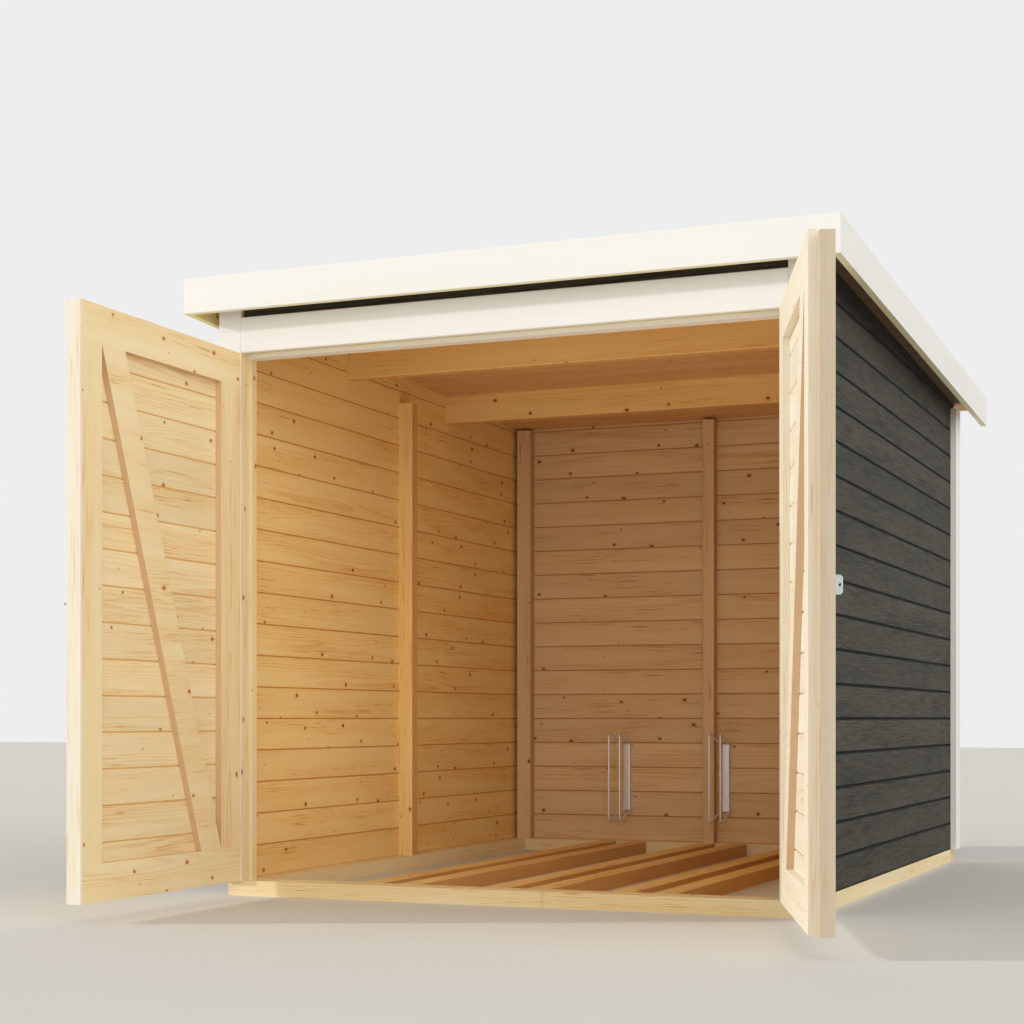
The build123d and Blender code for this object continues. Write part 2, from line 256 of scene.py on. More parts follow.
class Shader:
    """The nodes of a material or of the world."""

    def __init__(self, owner: bpy.types.Material | bpy.types.World) -> None:
        """Start with no nodes.

        Args:
            owner: The new material or world.
        """
        owner.use_nodes = True
        self.owner = owner
        self.tree = owner.node_tree
        self.tree.nodes.clear()

    def node(
        self,
        kind: str,
        settings: Mapping[str, object] | None = None,
        inputs: Mapping[object, object] | None = None,
    ) -> Made:
        """Add any node.

        Args:
            kind: The node's type.
            settings: Its own settings, set before its sockets.
            inputs: A value or link for sockets, by place, name or identifier.

        Returns:
            The node.
        """
        node = self.tree.nodes.new(kind)
        for key, value in (settings or {}).items():
            setattr(node, key, value)
        for key, value in (inputs or {}).items():
            socket = find_socket(node.inputs, key)
            if isinstance(value, Level):
                self.tree.links.new(value.socket, socket)
            else:
                socket.default_value = value
        return Made(self, node)

    def vector(self, x: Number, y: Number, z: Number) -> Level:
        """Join three numbers into a vector."""
        return self.node("ShaderNodeCombineXYZ", {}, {"X": x, "Y": y, "Z": z})["Vector"]

    def parts(self, vector: Level) -> tuple[Level, Level, Level]:
        """Split a vector or colour into its three numbers."""
        made = self.node("ShaderNodeSeparateXYZ", {}, {"Vector": vector})
        return made["X"], made["Y"], made["Z"]

    def noise(
        self, vector: Level, scale: float = 1.0, detail: float = 2.0, roughness: float = 0.5
    ) -> Level:
        """Soft noise from 0 to 1.

        Args:
            vector: Where it is read.
            scale: Lumps to a unit of the vector.
            detail: Finer layers.
            roughness: How strong the finer layers are.

        Returns:
            The noise, mostly near 0.5.
        """
        made = self.node(
            "ShaderNodeTexNoise",
            {"noise_dimensions": "3D"},
            {"Vector": vector, "Scale": scale, "Detail": detail, "Roughness": roughness},
        )
        return made["Fac"]

    def mix(self, share: Number, first: object, second: object) -> Level:
        """Blend two colours.

        Args:
            share: How much of the second, from 0 to 1.
            first: Colour or link.
            second: Colour or link.

        Returns:
            The colour.
        """
        made = self.node(
            "ShaderNodeMix",
            {"data_type": "RGBA", "clamp_factor": True},
            {"Factor_Float": share, "A_Color": first, "B_Color": second},
        )
        return made["Result_Color"]

    def brighten(self, colour: object, level: Number) -> Level:
        """Scale a colour by a number."""
        made = self.node(
            "ShaderNodeVectorMath", {"operation": "SCALE"}, {"Vector": colour, "Scale": level}
        )
        return made["Vector"]

    def bump(self, height: Level, depth: float, strength: float = 1.0) -> Level:
        """Relief from a height.

        Args:
            height: The height, in shares of the depth.
            depth: Metres that a height of 1 stands for.
            strength: How much of it shows.

        Returns:
            The normal.
        """
        made = self.node(
            "ShaderNodeBump", {}, {"Height": height, "Distance": depth, "Strength": strength}
        )
        return made["Normal"]

    def flakes(self, scale: float) -> tuple[Level, Level, Level]:
        """Cells round scattered points.

        Args:
            scale: Cells to a metre.

        Returns:
            The object coordinates, and two random numbers of the cell.
        """
        where = self.node("ShaderNodeTexCoord")["Object"]
        cells = self.node(
            "ShaderNodeTexVoronoi", {"feature": "F1"}, {"Vector": where, "Scale": scale}
        )
        flake, other, _ = self.parts(cells["Color"])
        return where, flake, other

    def facing(self, direction: Point) -> Level:
        """Share of the surface's own normal that points a given way."""
        normal = self.node("ShaderNodeTexCoord")["Normal"]
        unit = tuple(Vector(direction).normalized())
        made = self.node("ShaderNodeVectorMath", {"operation": "DOT_PRODUCT"}, {0: normal, 1: unit})
        return made["Value"]

    def finish(self, surface: Mapping[str, object]) -> bpy.types.Material:
        """Add the surface shader and the output.

        Args:
            surface: Values and links of the surface shader's sockets.

        Returns:
            The material.
        """
        made = self.node("ShaderNodeBsdfPrincipled", {}, surface)
        self.node("ShaderNodeOutputMaterial", {}, {"Surface": made["BSDF"]})
        return self.owner


def new_shader(name: str) -> Shader:
    """Start an empty material."""
    return Shader(bpy.data.materials.new(name))


@dataclass(frozen=True)
class Lay:
    """How the grain of a timber, or of boards side by side, lies in the model.

    A place is read as metres along the grain, across the broad face and out through it.
    """

    origin: Point
    grain: Point
    across: Point
    name: str
    module: float = 0.0

    def frame(self) -> Matrix:
        """Turn whose columns run along the grain, across and through."""
        along = Vector(self.grain).normalized()
        across = Vector(self.across).normalized()
        return Matrix((along, across, along.cross(across))).transposed()


# Where a face starts and ends to count as looking along a direction, as a cosine.
SIDE_RISE: Pair = (0.8, 0.95)


@dataclass(frozen=True)
class Place:
    """Where a shader point lies in its timber, with the timber's own chances."""

    shader: Shader
    lay: Lay
    along: Number
    across: Number
    through: Number
    chance: tuple[Number, Number, Number]
    edge: Number | None = None

    def noise(
        self, scale: Pair, shift: Number, detail: float = 2.0, roughness: float = 0.5
    ) -> Level:
        """Noise that is drawn out along the grain.

        Args:
            scale: Lumps to a metre along the grain and square to it.
            shift: Distance that it is moved along, in lumps.
            detail: Finer layers.
            roughness: How strong the finer layers are.

        Returns:
            The noise, mostly near 0.5.
        """
        along, square = scale
        vector = self.shader.vector(
            self.along * along + shift, self.across * square, self.through * square
        )
        return self.shader.noise(vector, 1.0, detail, roughness)

    def side(self, direction: Point) -> Level:
        """Mask of the faces that look along a direction, either way."""
        return abs(self.shader.facing(direction)).rise(*SIDE_RISE)


def begin(kind: str, lay: Lay) -> Place:
    """Start a timber's material with a point's place in the timber or board.

    Args:
        kind: The material's name before the timber's.
        lay: How the timber lies.

    Returns:
        The place; for boards side by side, across runs from the middle of the board.
    """
    shader = new_shader(f"{kind}_{lay.name}")
    mapped = shader.node(
        "ShaderNodeMapping",
        {"vector_type": "TEXTURE"},
        {
            "Vector": shader.node("ShaderNodeTexCoord")["Object"],
            "Location": lay.origin,
            "Rotation": tuple(lay.frame().to_euler("XYZ")),
        },
    )["Vector"]
    along, across, through = shader.parts(mapped)
    if not lay.module:
        return Place(shader, lay, along, across, through, tuple(chances(lay.name)))
    stacked = across / lay.module
    board = stacked.floor()
    local = (stacked - board - 0.5) * lay.module
    random = shader.node(
        "ShaderNodeTexWhiteNoise",
        {"noise_dimensions": "2D"},
        {"Vector": shader.vector(board, 100 * chances(lay.name, 1)[0], 0.0)},
    )["Color"]
    edge = lay.module / 2 - abs(local)
    return Place(shader, lay, along, local, through, shader.parts(random), edge)


@dataclass(frozen=True)
class Grain:
    """The figure of saw-cut spruce, read as numbers from 0 to 1."""

    late: Level
    streak: Level
    thread: Level
    fibre: Level
    cloud: Level
    knot: Level
    knot_rim: Level
    halo: Level
    relief: Level


@dataclass(frozen=True)
class Figure:
    """The figure of saw-cut spruce.

    Sizes are in metres. A scale is lumps to a metre along the grain and square to it. A rise
    is where a smooth step begins and where it is full.
    """

    travel: float = 37.0
    ring: float = 0.0032
    ring_least: float = 0.7
    ring_more: float = 0.8
    ring_rise: Pair = (0.3, 0.92)
    ring_end: Pair = (1.0, 0.94)
    ripple: float = 0.002
    ripple_scale: Pair = (4.0, 55.0)
    pith_spread: float = 0.2
    pith_depth: float = 0.03
    pith_more: float = 0.09
    wander: Pair = (0.06, 0.03)
    wander_scale: Pair = (0.9, 2.5)
    thread_scale: Pair = (7.0, 330.0)
    cloud_scale: Pair = (1.5, 17.0)
    fibre_scale: Pair = (9.0, 520.0)
    fibre_rough: float = 0.6
    streak_rise: Pair = (0.59, 0.68)
    streak_cloud: Pair = (0.46, 0.6)
    knot_pitch: float = 0.13
    knot_row: float = 0.058
    knot_scatter: float = 0.85
    knot_share: float = 0.3
    knot_size: float = 0.0058
    knot_least: float = 0.22
    knot_squeeze: Pair = (0.6, 0.35)
    knot_rise: Pair = (-0.0005, 0.0008)
    rim_width: float = 0.75
    rim_rise: Pair = (0.0006, -0.0004)
    halo_reach: float = 2.6
    halo_least: float = 0.0004
    halo_rise: Pair = (1.0, 0.2)

    def read(self, place: Place) -> Grain:
        """Build the figure from growth rings, resin streaks, fibres and knots.

        The rings are cylinders round a pith that lies under the face and wanders along the
        timber: ring = distance from the pith over the ring width. The knots push them out.

        Args:
            place: Where the point lies in its timber.

        Returns:
            The figure.
        """
        one, two, three = place.chance
        shift = three * self.travel
        back = 0.0 - shift
        sway_across, sway_through = self.wander
        wander = place.noise(self.wander_scale, shift, 1.0) - 0.5
        pith_across = place.across - (one - 0.5) * self.pith_spread + wander * sway_across
        depth = place.through - self.pith_depth - two * self.pith_more
        pith_through = depth - wander * sway_through
        radius = (pith_across * pith_across + pith_through * pith_through).root()
        knot, rim, halo, push = self._knots(place, shift)
        ripple = place.noise(self.ripple_scale, shift, 1.0) - 0.5
        width = self.ring * (self.ring_least + two * self.ring_more)
        ring = ((radius + push + ripple * self.ripple) / width).fraction()
        thread = place.noise(self.thread_scale, back)
        cloud = place.noise(self.cloud_scale, back)
        return Grain(
            late=ring.rise(*self.ring_rise) * ring.rise(*self.ring_end),
            streak=thread.rise(*self.streak_rise) * cloud.rise(*self.streak_cloud),
            thread=thread,
            fibre=place.noise(self.fibre_scale, shift, 2.0, self.fibre_rough),
            cloud=cloud,
            knot=knot,
            knot_rim=rim,
            halo=halo,
            relief=place.noise(self.fibre_scale, shift, 0.0),
        )

    def _knots(self, place: Place, shift: Number) -> tuple[Level, Level, Level, Level]:
        """Scatter knots, rods that run through the timber, at most one to a cell.

        A knot is the ellipse away < size, with away the distance from the cell's point.

        Args:
            place: Where the point lies in its timber.
            shift: Distance that the cells are moved along.

        Returns:
            The knot, its dark rim, the halo round it and how far it pushes the rings, in metres.
        """
        shader = place.shader
        cell_along = place.along / self.knot_pitch + shift
        cell_across = place.across / self.knot_row
        cells = shader.node(
            "ShaderNodeTexVoronoi",
            {"voronoi_dimensions": "2D", "feature": "F1"},
            {
                "Vector": shader.vector(cell_along, cell_across, 0.0),
                "Scale": 1.0,
                "Randomness": self.knot_scatter,
            },
        )
        middle_along, middle_across, _ = shader.parts(cells["Position"])
        luck, stretch, grown = shader.parts(cells["Color"])
        least, more = self.knot_squeeze
        away_along = (cell_along - middle_along) * self.knot_pitch * (stretch * more + least)
        away_across = (cell_across - middle_across) * self.knot_row
        away = (away_along * away_along + away_across * away_across).root()
        size = (grown * grown * (1 - self.knot_least) + self.knot_least) * self.knot_size
        real = luck.rise(self.knot_share + 0.001, self.knot_share)
        knot = (size - away).rise(*self.knot_rise) * real
        rim = knot * (size * self.rim_width - away).rise(*self.rim_rise)
        halo = (away / (size * self.halo_reach + self.halo_least)).rise(*self.halo_rise) * real
        return knot, rim, halo, halo * size


@dataclass(frozen=True)
class BareSpruce:
    """Planed spruce with amber rings and red-brown knots, left bare."""

    pale: Colour = srgb(250, 234, 192)
    honey: Colour = srgb(244, 214, 150)
    amber: Colour = srgb(226, 172, 94)
    resin: Colour = srgb(218, 146, 62)
    knot: Colour = srgb(196, 98, 38)
    knot_rim: Colour = srgb(122, 52, 20)
    joint: Colour = srgb(226, 168, 88)
    # The end grain's own colour, which is also painted shade on the narrow side faces; the share below is
    # how much of that shade shows.
    end_grain_and_side_shade: Colour = srgb(214, 170, 132)
    side_shade_share: float = 0.65
    end_share: float = 0.3
    ring_share: float = 0.7
    streak_share: float = 0.68
    halo_share: float = 0.35
    knot_share: float = 0.92
    side_knots: float = 0.15
    rim_share: float = 0.8
    honey_from: float = 0.32
    ring_from: float = 0.12
    unevenness: float = 0.12
    # Painted shade by each board joint: a soft honey band about a centimetre wide, and a darker line on
    # the V groove.
    joint_shade_rise: Pair = (0.010, 0.001)
    joint_shade_share: float = 0.25
    groove_shade_rise: Pair = (0.0027, 0.0004)
    groove_shade_share: float = 0.75
    gloss: float = 0.3
    relief: Pair = (0.00012, 0.5)
    figure: Figure = Figure()

    def colour(self, place: Place, grain: Grain) -> Level:
        """Mix the wood's colour.

        Args:
            place: Where the point lies in its timber.
            grain: Its figure.

        Returns:
            The colour.
        """
        shader, lay = place.shader, place.lay
        one, two, three = place.chance
        honey = (grain.cloud - self.honey_from) * (one * 0.8 + 0.7)
        body = shader.mix(honey, self.pale, self.honey)
        rings = grain.late * (grain.cloud * self.ring_share - self.ring_from)
        body = shader.mix(rings, body, self.amber)
        body = shader.mix(grain.streak * self.streak_share, body, self.resin)
        body = shader.brighten(body, grain.fibre * self.unevenness + (1 - self.unevenness / 2))
        body = shader.brighten(body, (two * 0.5 + three * 0.5 - 0.5) * self.unevenness + 1.0)
        sides = 0.0 if lay.module else place.side(lay.across)
        shown = 1.0 - sides * (1 - self.side_knots)
        body = shader.mix(grain.halo * shown * self.halo_share, body, self.resin)
        heart = shader.mix(grain.knot_rim * self.rim_share, self.knot, self.knot_rim)
        body = shader.mix(grain.knot * shown * self.knot_share, body, heart)
        # Painted shade: a soft band and a darker line along each board joint.
        if place.edge is not None:
            edge, joint = place.edge.rise(*self.joint_shade_rise), place.edge.rise(*self.groove_shade_rise)
            body = shader.mix(edge * self.joint_shade_share, body, self.honey)
            body = shader.mix(joint * self.groove_shade_share, body, self.joint)
        # Painted shade: the narrow side faces of single timbers take a darker pinkish tone.
        if self.side_shade_share and not lay.module:
            body = shader.mix(sides * self.side_shade_share, body, self.end_grain_and_side_shade)
        return shader.mix(place.side(lay.grain) * self.end_share, body, self.end_grain_and_side_shade)

    def surface(self, place: Place, grain: Grain, colour: Level) -> bpy.types.Material:
        """Finish a material with the gloss and relief of planed wood.

        Args:
            place: Where the point lies in its timber.
            grain: Its figure.
            colour: Its colour.

        Returns:
            The material.
        """
        return place.shader.finish({
            "Specular IOR Level": self.gloss,
            "Base Color": colour,
            "Roughness": grain.fibre * 0.2 + 0.5,
            "Normal": place.shader.bump(grain.relief, *self.relief),
        })

    def material(self, lay: Lay) -> bpy.types.Material:
        """Make the finish for one timber or stack of boards.

        Args:
            lay: How it lies.

        Returns:
            The material.
        """
        place = begin("spruce", lay)
        grain = self.figure.read(place)
        return self.surface(place, grain, self.colour(place, grain))


@dataclass(frozen=True)
class GreyStain:
    """Dark warm grey stain on the weather side of boards that are bare inside."""

    dark: Colour = srgb(38, 37, 31)
    light: Colour = srgb(86, 84, 74)
    # Near black: the stain's dark streaks, nicks and knots, and painted shadow in the V grooves between
    # boards.
    joint: Colour = srgb(10, 10, 8)
    bare: BareSpruce = BareSpruce()
    weather_rise: Pair = (0.0051, 0.0059)
    fibre_share: float = 1.6
    thread_share: float = 2.2
    nick_rise: Pair = (0.66, 0.7)
    nick_cloud: Pair = (0.4, 0.5)
    mark_share: float = 0.8
    knot_share: float = 0.7
    groove_shade_rise: Pair = (0.0060, 0.0044)
    groove_shade_share: float = 0.95
    gloss: float = 0.16
    relief: Pair = (0.0003, 0.8)

    def material(self, lay: Lay) -> bpy.types.Material:
        """Make the finish for one stack of boards.

        Args:
            lay: How it lies; through points to the weather.

        Returns:
            The material.
        """
        place = begin("stain", lay)
        shader = place.shader
        grain = self.bare.figure.read(place)
        one, two, _ = place.chance
        fibre = (grain.fibre - 0.5) * self.fibre_share
        thread = (grain.thread - 0.5) * self.thread_share
        brushed = fibre + thread + grain.cloud + 0.02
        outside = shader.mix(brushed + grain.late * 0.1 - grain.halo * 0.2, self.dark, self.light)
        outside = shader.brighten(outside, one * 0.2 + two * 0.12 + 0.86)
        nick = grain.fibre.rise(*self.nick_rise) * grain.cloud.rise(*self.nick_cloud)
        marks = [grain.streak * self.mark_share, nick * self.mark_share, grain.knot * self.knot_share]
        # Painted shadow: a near-black band along each V groove.
        if place.edge is not None:
            marks.append(place.edge.rise(*self.groove_shade_rise) * self.groove_shade_share)
        for mark in marks:
            outside = shader.mix(mark, outside, self.joint)
        inside = self.bare.colour(place, grain)
        return shader.finish({
            "Specular IOR Level": self.gloss,
            "Base Color": shader.mix(place.through.rise(*self.weather_rise), inside, outside),
            "Roughness": grain.fibre * 0.2 + 0.62,
            "Normal": shader.bump(grain.relief, *self.relief),
        })


@dataclass(frozen=True)
class WhitePaint:
    """Warm white paint over planed spruce, on the faces that show outside."""

    body: Colour = srgb(248, 247, 243)
    thin: Colour = srgb(241, 238, 227)
    bare: BareSpruce = BareSpruce()
    wear: float = 0.22
    paint_rise: Pair = (0.3, 0.5)
    gloss: float = 0.4
    relief: Pair = (0.0001, 0.4)

    def material(self, lay: Lay, painted: Sequence[Point] = ()) -> bpy.types.Material:
        """Make the finish for one board.

        Args:
            lay: How it lies.
            painted: Directions that the painted faces look; none means all over.

        Returns:
            The material.
        """
        place = begin("white", lay)
        shader = place.shader
        grain = self.bare.figure.read(place)
        worn = grain.cloud * 0.6 + grain.late * 0.2 + grain.knot * 0.4 - self.wear
        colour = shader.mix(worn, self.body, self.thin)
        colour = shader.brighten(colour, grain.fibre * 0.04 + 0.98)
        if painted:
            seen = shader.facing(painted[0])
            for direction in painted[1:]:
                seen = seen.most(shader.facing(direction))
            wood = self.bare.colour(place, grain)
            colour = shader.mix(seen.rise(*self.paint_rise), wood, colour)
        return shader.finish({
            "Specular IOR Level": self.gloss,
            "Base Color": colour,
            "Roughness": grain.fibre * 0.16 + 0.42,
            "Normal": shader.bump(grain.relief, *self.relief),
        })


@dataclass(frozen=True)
class Zinc:
    """Galvanised steel with a faint spangle."""

    name: str = "zinc"
    body: Colour = srgb(186, 189, 191)
    spangle: Colour = srgb(150, 154, 158)
    rough: float = 0.34
    flakes: float = 260.0
    clouds: float = 35.0
    relief: Pair = (0.0002, 0.4)

    def material(self) -> bpy.types.Material:
        """Make the finish.

        Returns:
            The material.
        """
        shader = new_shader(self.name)
        where, flake, other = shader.flakes(self.flakes)
        cloud = shader.noise(where, self.clouds, 3.0)
        return shader.finish({
            "Metallic": 1.0,
            "Base Color": shader.mix(flake * 0.6 + (cloud - 0.5) * 0.5, self.body, self.spangle),
            "Roughness": other * 0.1 + cloud * 0.1 + self.rough,
            "Normal": shader.bump(cloud, *self.relief),
        })


@dataclass(frozen=True)
class BrightSteel:
    """Bright drawn wire and folded sheet."""

    # The blue-lilac tint is painted reflection of a cool sky, laid over the neutral colour of bright
    # steel.
    body: Colour = srgb(236, 240, 255)
    dull: Colour = srgb(224, 228, 250)
    metallic: float = 0.6
    rough: float = 0.26
    lines: Pair = (900.0, 14.0)
    smears: float = 26.0
    relief: Pair = (0.0002, 0.3)

    def material(self) -> bpy.types.Material:
        """Make the finish.

        Returns:
            The material.
        """
        shader = new_shader("bright_steel")
        where = shader.node("ShaderNodeTexCoord")["Object"]
        x, y, z = shader.parts(where)
        square, length = self.lines
        drawn = shader.noise(shader.vector(x * square, y * square, z * length), 1.0, 2.0)
        smear = shader.noise(where, self.smears, 3.0)
        return shader.finish({
            "Metallic": self.metallic,
            "Base Color": shader.mix(smear * 0.8, self.body, self.dull),
            "Roughness": drawn * 0.04 + smear * 0.08 + self.rough,
            "Normal": shader.bump(smear, *self.relief),
        })


@dataclass(frozen=True)
class MineralFelt:
    """Bitumen felt with slate granules."""

    dark: Colour = srgb(44, 45, 46)
    light: Colour = srgb(92, 93, 94)
    granules: float = 620.0
    clouds: float = 5.0
    gloss: float = 0.3
    relief: Pair = (0.0008, 0.7)

    def material(self) -> bpy.types.Material:
        """Make the finish.

        Returns:
            The material.
        """
        shader = new_shader("mineral_felt")
        where, flake, other = shader.flakes(self.granules)
        cloud = shader.noise(where, self.clouds, 4.0)
        return shader.finish({
            "Specular IOR Level": self.gloss,
            "Base Color": shader.mix(flake * 0.7 + cloud * 0.5 - 0.25, self.dark, self.light),
            "Roughness": other * 0.2 + 0.72,
            "Normal": shader.bump(flake * 0.7 + cloud * 0.3, *self.relief),
        })


def plain_lay(name: str, grain: Point) -> Lay:
    """Lay of a squared timber that stands along one of the model's axes.

    Args:
        name: The timber's node.
        grain: Direction of its length.

    Returns:
        The lay, whose across is the wider of the two other directions.
    """
    low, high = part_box(name)
    size = high - low
    axis = max(range(3), key=lambda k: abs(grain[k]))
    broad = max((k for k in range(3) if k != axis), key=lambda k: size[k])
    across = tuple(1.0 if k == broad else 0.0 for k in range(3))
    return Lay(tuple((low + high) / 2), grain, across, name)


OUTDOORS = BareSpruce(side_shade_share=0.0)
# Painted shade: a darker, more orange copy of the bare spruce for the wood inside the house, standing in
# for its shade and warm bounced light.
INDOOR_SHADE = BareSpruce(
    pale=srgb(250, 219, 152), honey=srgb(244, 194, 110), amber=srgb(222, 148, 64),
    resin=srgb(204, 114, 40), knot=srgb(172, 70, 22), knot_rim=srgb(92, 32, 10),
    joint=srgb(192, 112, 44), end_grain_and_side_shade=srgb(206, 140, 82),
)
# Painted shade: a darker, greyer copy of the bare spruce for the back wall and its studs, deepest in
# shade inside the house.
SHADED_BACK = BareSpruce(
    pale=srgb(238, 210, 166), honey=srgb(226, 188, 136), amber=srgb(202, 146, 88),
    resin=srgb(176, 100, 46), knot=srgb(150, 66, 26), knot_rim=srgb(78, 30, 12),
    joint=srgb(176, 108, 56), end_grain_and_side_shade=srgb(196, 146, 104),
)
SUNLIT = BareSpruce(
    pale=srgb(250, 244, 228), honey=srgb(247, 234, 204), amber=srgb(236, 208, 152),
    resin=srgb(232, 188, 116), joint=srgb(222, 178, 114), side_shade_share=0.0,
    figure=Figure(knot_share=0.18, knot_size=0.0048),
)
# Painted light: a paler copy of the bare spruce for the leaves' edge strips, which stand in the sun.
SUNLIT_EDGE = BareSpruce(
    pale=srgb(244, 237, 220), honey=srgb(239, 225, 196), amber=srgb(226, 192, 136),
    resin=srgb(222, 176, 104), side_shade_share=0.0, figure=Figure(knot_share=0.1, knot_size=0.004),
)
SHADED = BareSpruce(
    pale=srgb(220, 206, 182), honey=srgb(208, 188, 156), amber=srgb(188, 154, 108),
    side_shade_share=0.0, figure=Figure(knot_share=0.2, knot_size=0.006),
)
SHADY_ROOF = BareSpruce(
    pale=srgb(226, 180, 124), honey=srgb(210, 156, 98), amber=srgb(178, 118, 64),
    joint=srgb(120, 74, 40),
)
# Painted light: a brighter, yellower copy of the spruce for the bare faces of the left fascia, standing
# in for the lit underside of the left overhang.
SUNLIT_YELLOW = BareSpruce(
    pale=srgb(254, 238, 168), honey=srgb(252, 224, 138), amber=srgb(236, 194, 100), side_shade_share=0.0,
)
CREAM = BareSpruce(
    pale=srgb(252, 245, 206), honey=srgb(248, 234, 178), amber=srgb(232, 204, 130), side_shade_share=0.0,
)

LEFT: Point = (-1.0, 0.0, 0.0)
RIGHT: Point = (1.0, 0.0, 0.0)
FRONT: Point = (0.0, -1.0, 0.0)
BACK: Point = (0.0, 1.0, 0.0)
UP: Point = (0.0, 0.0, 1.0)
DOWN: Point = (0.0, 0.0, -1.0)

# In metres: points nearer than MERGE are one, and edges shorter than SLIVER are none.
MERGE = 2e-6
SLIVER = 1e-7

# The doors' pins, how far the right leaf is open at rest, and the straps' heights.
PIN_X = 0.851
PIN_Y = -0.07006
RIGHT_OPEN = 109.0
HINGE_HEIGHTS = (0.200, 1.452)


def dress(node: str, material: bpy.types.Material) -> None:
    """Give a solid of the frame its finish.

    Args:
        node: The solid's name.
        material: The finish.
    """
    solid = bpy.data.objects[node]
    solid.data.materials.clear()
    solid.data.materials.append(material)
    log.info("dressed %s with %s", node, material.name)


class Skin:
    """Points and faces of a new piece, gathered patch by patch."""

    def __init__(self) -> None:
        """Start with nothing."""
        self.points: list[np.ndarray] = []
        self.faces: list[tuple[int, ...]] = []
        self.count = 0

    def patch(self, grid: np.ndarray, round_rows: bool = False, round_columns: bool = False) -> None:
        """Add a grid of points joined by quads.

        Args:
            grid: The points, rows by columns by 3.
            round_rows: Whether the last point of a row joins the first.
            round_columns: Whether the last row joins the first.
        """
        rows, columns, _ = grid.shape
        row = np.arange(rows if round_columns else rows - 1)[:, None]
        column = np.arange(columns if round_rows else columns - 1)[None, :]
        after_row, after_column = (row + 1) % rows, (column + 1) % columns
        quads = np.stack([
            row * columns + column, row * columns + after_column,
            after_row * columns + after_column, after_row * columns + column,
        ], axis=-1).reshape(-1, 4)
        self.faces += [tuple(quad) for quad in (quads + self.count).tolist()]
        self.points.append(grid.reshape(-1, 3))
        self.count += rows * columns

    def lid(self, ring: np.ndarray) -> None:
        """Close a ring of points with one face."""
        self.faces.append(tuple(range(self.count, self.count + len(ring))))
        self.points.append(ring)
        self.count += len(ring)

    def tube(self, rows: np.ndarray) -> None:
        """Add closed rings of points, one after another, with a lid at each end."""
        self.patch(rows, round_rows=True)
        self.lid(rows[0])
        self.lid(rows[-1][::-1])

    def piece(
        self, name: str, material: bpy.types.Material, body: str, slot: Slot, smooth: float = 35.0
    ) -> bpy.types.Object:
        """Make the gathered patches one object that rides on a body.

        Args:
            name: The object's name.
            material: Its finish.
            body: The body that carries it.
            slot: The record's material slot; not used.
            smooth: Edges up to this many degrees are shaded as one curve.

        Returns:
            The object.
        """
        mesh = bpy.data.meshes.new(name)
        mesh.from_pydata(np.concatenate(self.points).tolist(), [], self.faces)
        cleaned = bmesh.new()
        cleaned.from_mesh(mesh)
        bmesh.ops.remove_doubles(cleaned, verts=cleaned.verts, dist=MERGE)
        bmesh.ops.dissolve_degenerate(cleaned, dist=SLIVER, edges=cleaned.edges)
        bmesh.ops.recalc_face_normals(cleaned, faces=cleaned.faces)
        for edge in cleaned.edges:
            edge.smooth = edge.calc_face_angle(0.0) < math.radians(smooth)
        for face in cleaned.faces:
            face.smooth = True
        cleaned.to_mesh(mesh)
        cleaned.free()
        mesh.materials.append(material)
        made = bpy.data.objects.new(name, mesh)
        bpy.context.scene.collection.objects.link(made)
        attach(made, body)
        log.info("made %s with %d faces", name, len(mesh.polygons))
        return made


def turned(
    profile: Sequence[Pair], foot: Sequence[float], axis: Sequence[float], sides: int
) -> np.ndarray:
    """Spin a profile round an axis.

    Each point is foot + height * axis + radius * (cos a, sin a) square to the axis.

    Args:
        profile: Pairs of radius and height.
        foot: Where the axis starts.
        axis: Where it points.
        sides: Points to a turn.

    Returns:
        A grid with one closed row of points for each pair.
    """
    up = Vector(axis).normalized()
    side = up.orthogonal().normalized()
    other = up.cross(side)
    angle = np.linspace(0.0, 2 * math.pi, sides, endpoint=False)
    circle = np.outer(np.cos(angle), side) + np.outer(np.sin(angle), other)
    radius, height = np.array(profile, float).T
    return np.array(foot) + height[:, None, None] * np.array(up) + radius[:, None, None] * circle


def rounded(corners: Sequence[Sequence[float]], radius: float, steps: int = 8) -> np.ndarray:
    """Round the inner corners of an open run of straight lines.

    Between the points where the arc touches its two lines, each point is the blend
    (1-s)^2 * start + 2s(1-s) * corner * weight + s^2 * end, over the same blend of weights, which
    is the true arc when the weight is the cosine of half the turn.

    Args:
        corners: The run's corners.
        radius: Radius of every arc.
        steps: Parts that an arc is cut into.

    Returns:
        The points.
    """
    runs = [np.array(corner, float) for corner in corners]
    made = [runs[0]]
    for before, corner, after in zip(runs, runs[1:], runs[2:]):
        back = (before - corner) / np.linalg.norm(before - corner)
        ahead = (after - corner) / np.linalg.norm(after - corner)
        half = math.acos(float(np.clip(-back @ ahead, -1, 1))) / 2
        reach = radius * math.tan(half)
        start, end, weight = corner + back * reach, corner + ahead * reach, math.cos(half)
        share = np.linspace(0.0, 1.0, steps + 1)[:, None]
        first, middle, last = (1 - share) ** 2, 2 * share * (1 - share) * weight, share ** 2
        made.extend((first * start + middle * corner + last * end) / (first + middle + last))
    made.append(runs[-1])
    return np.array(made)


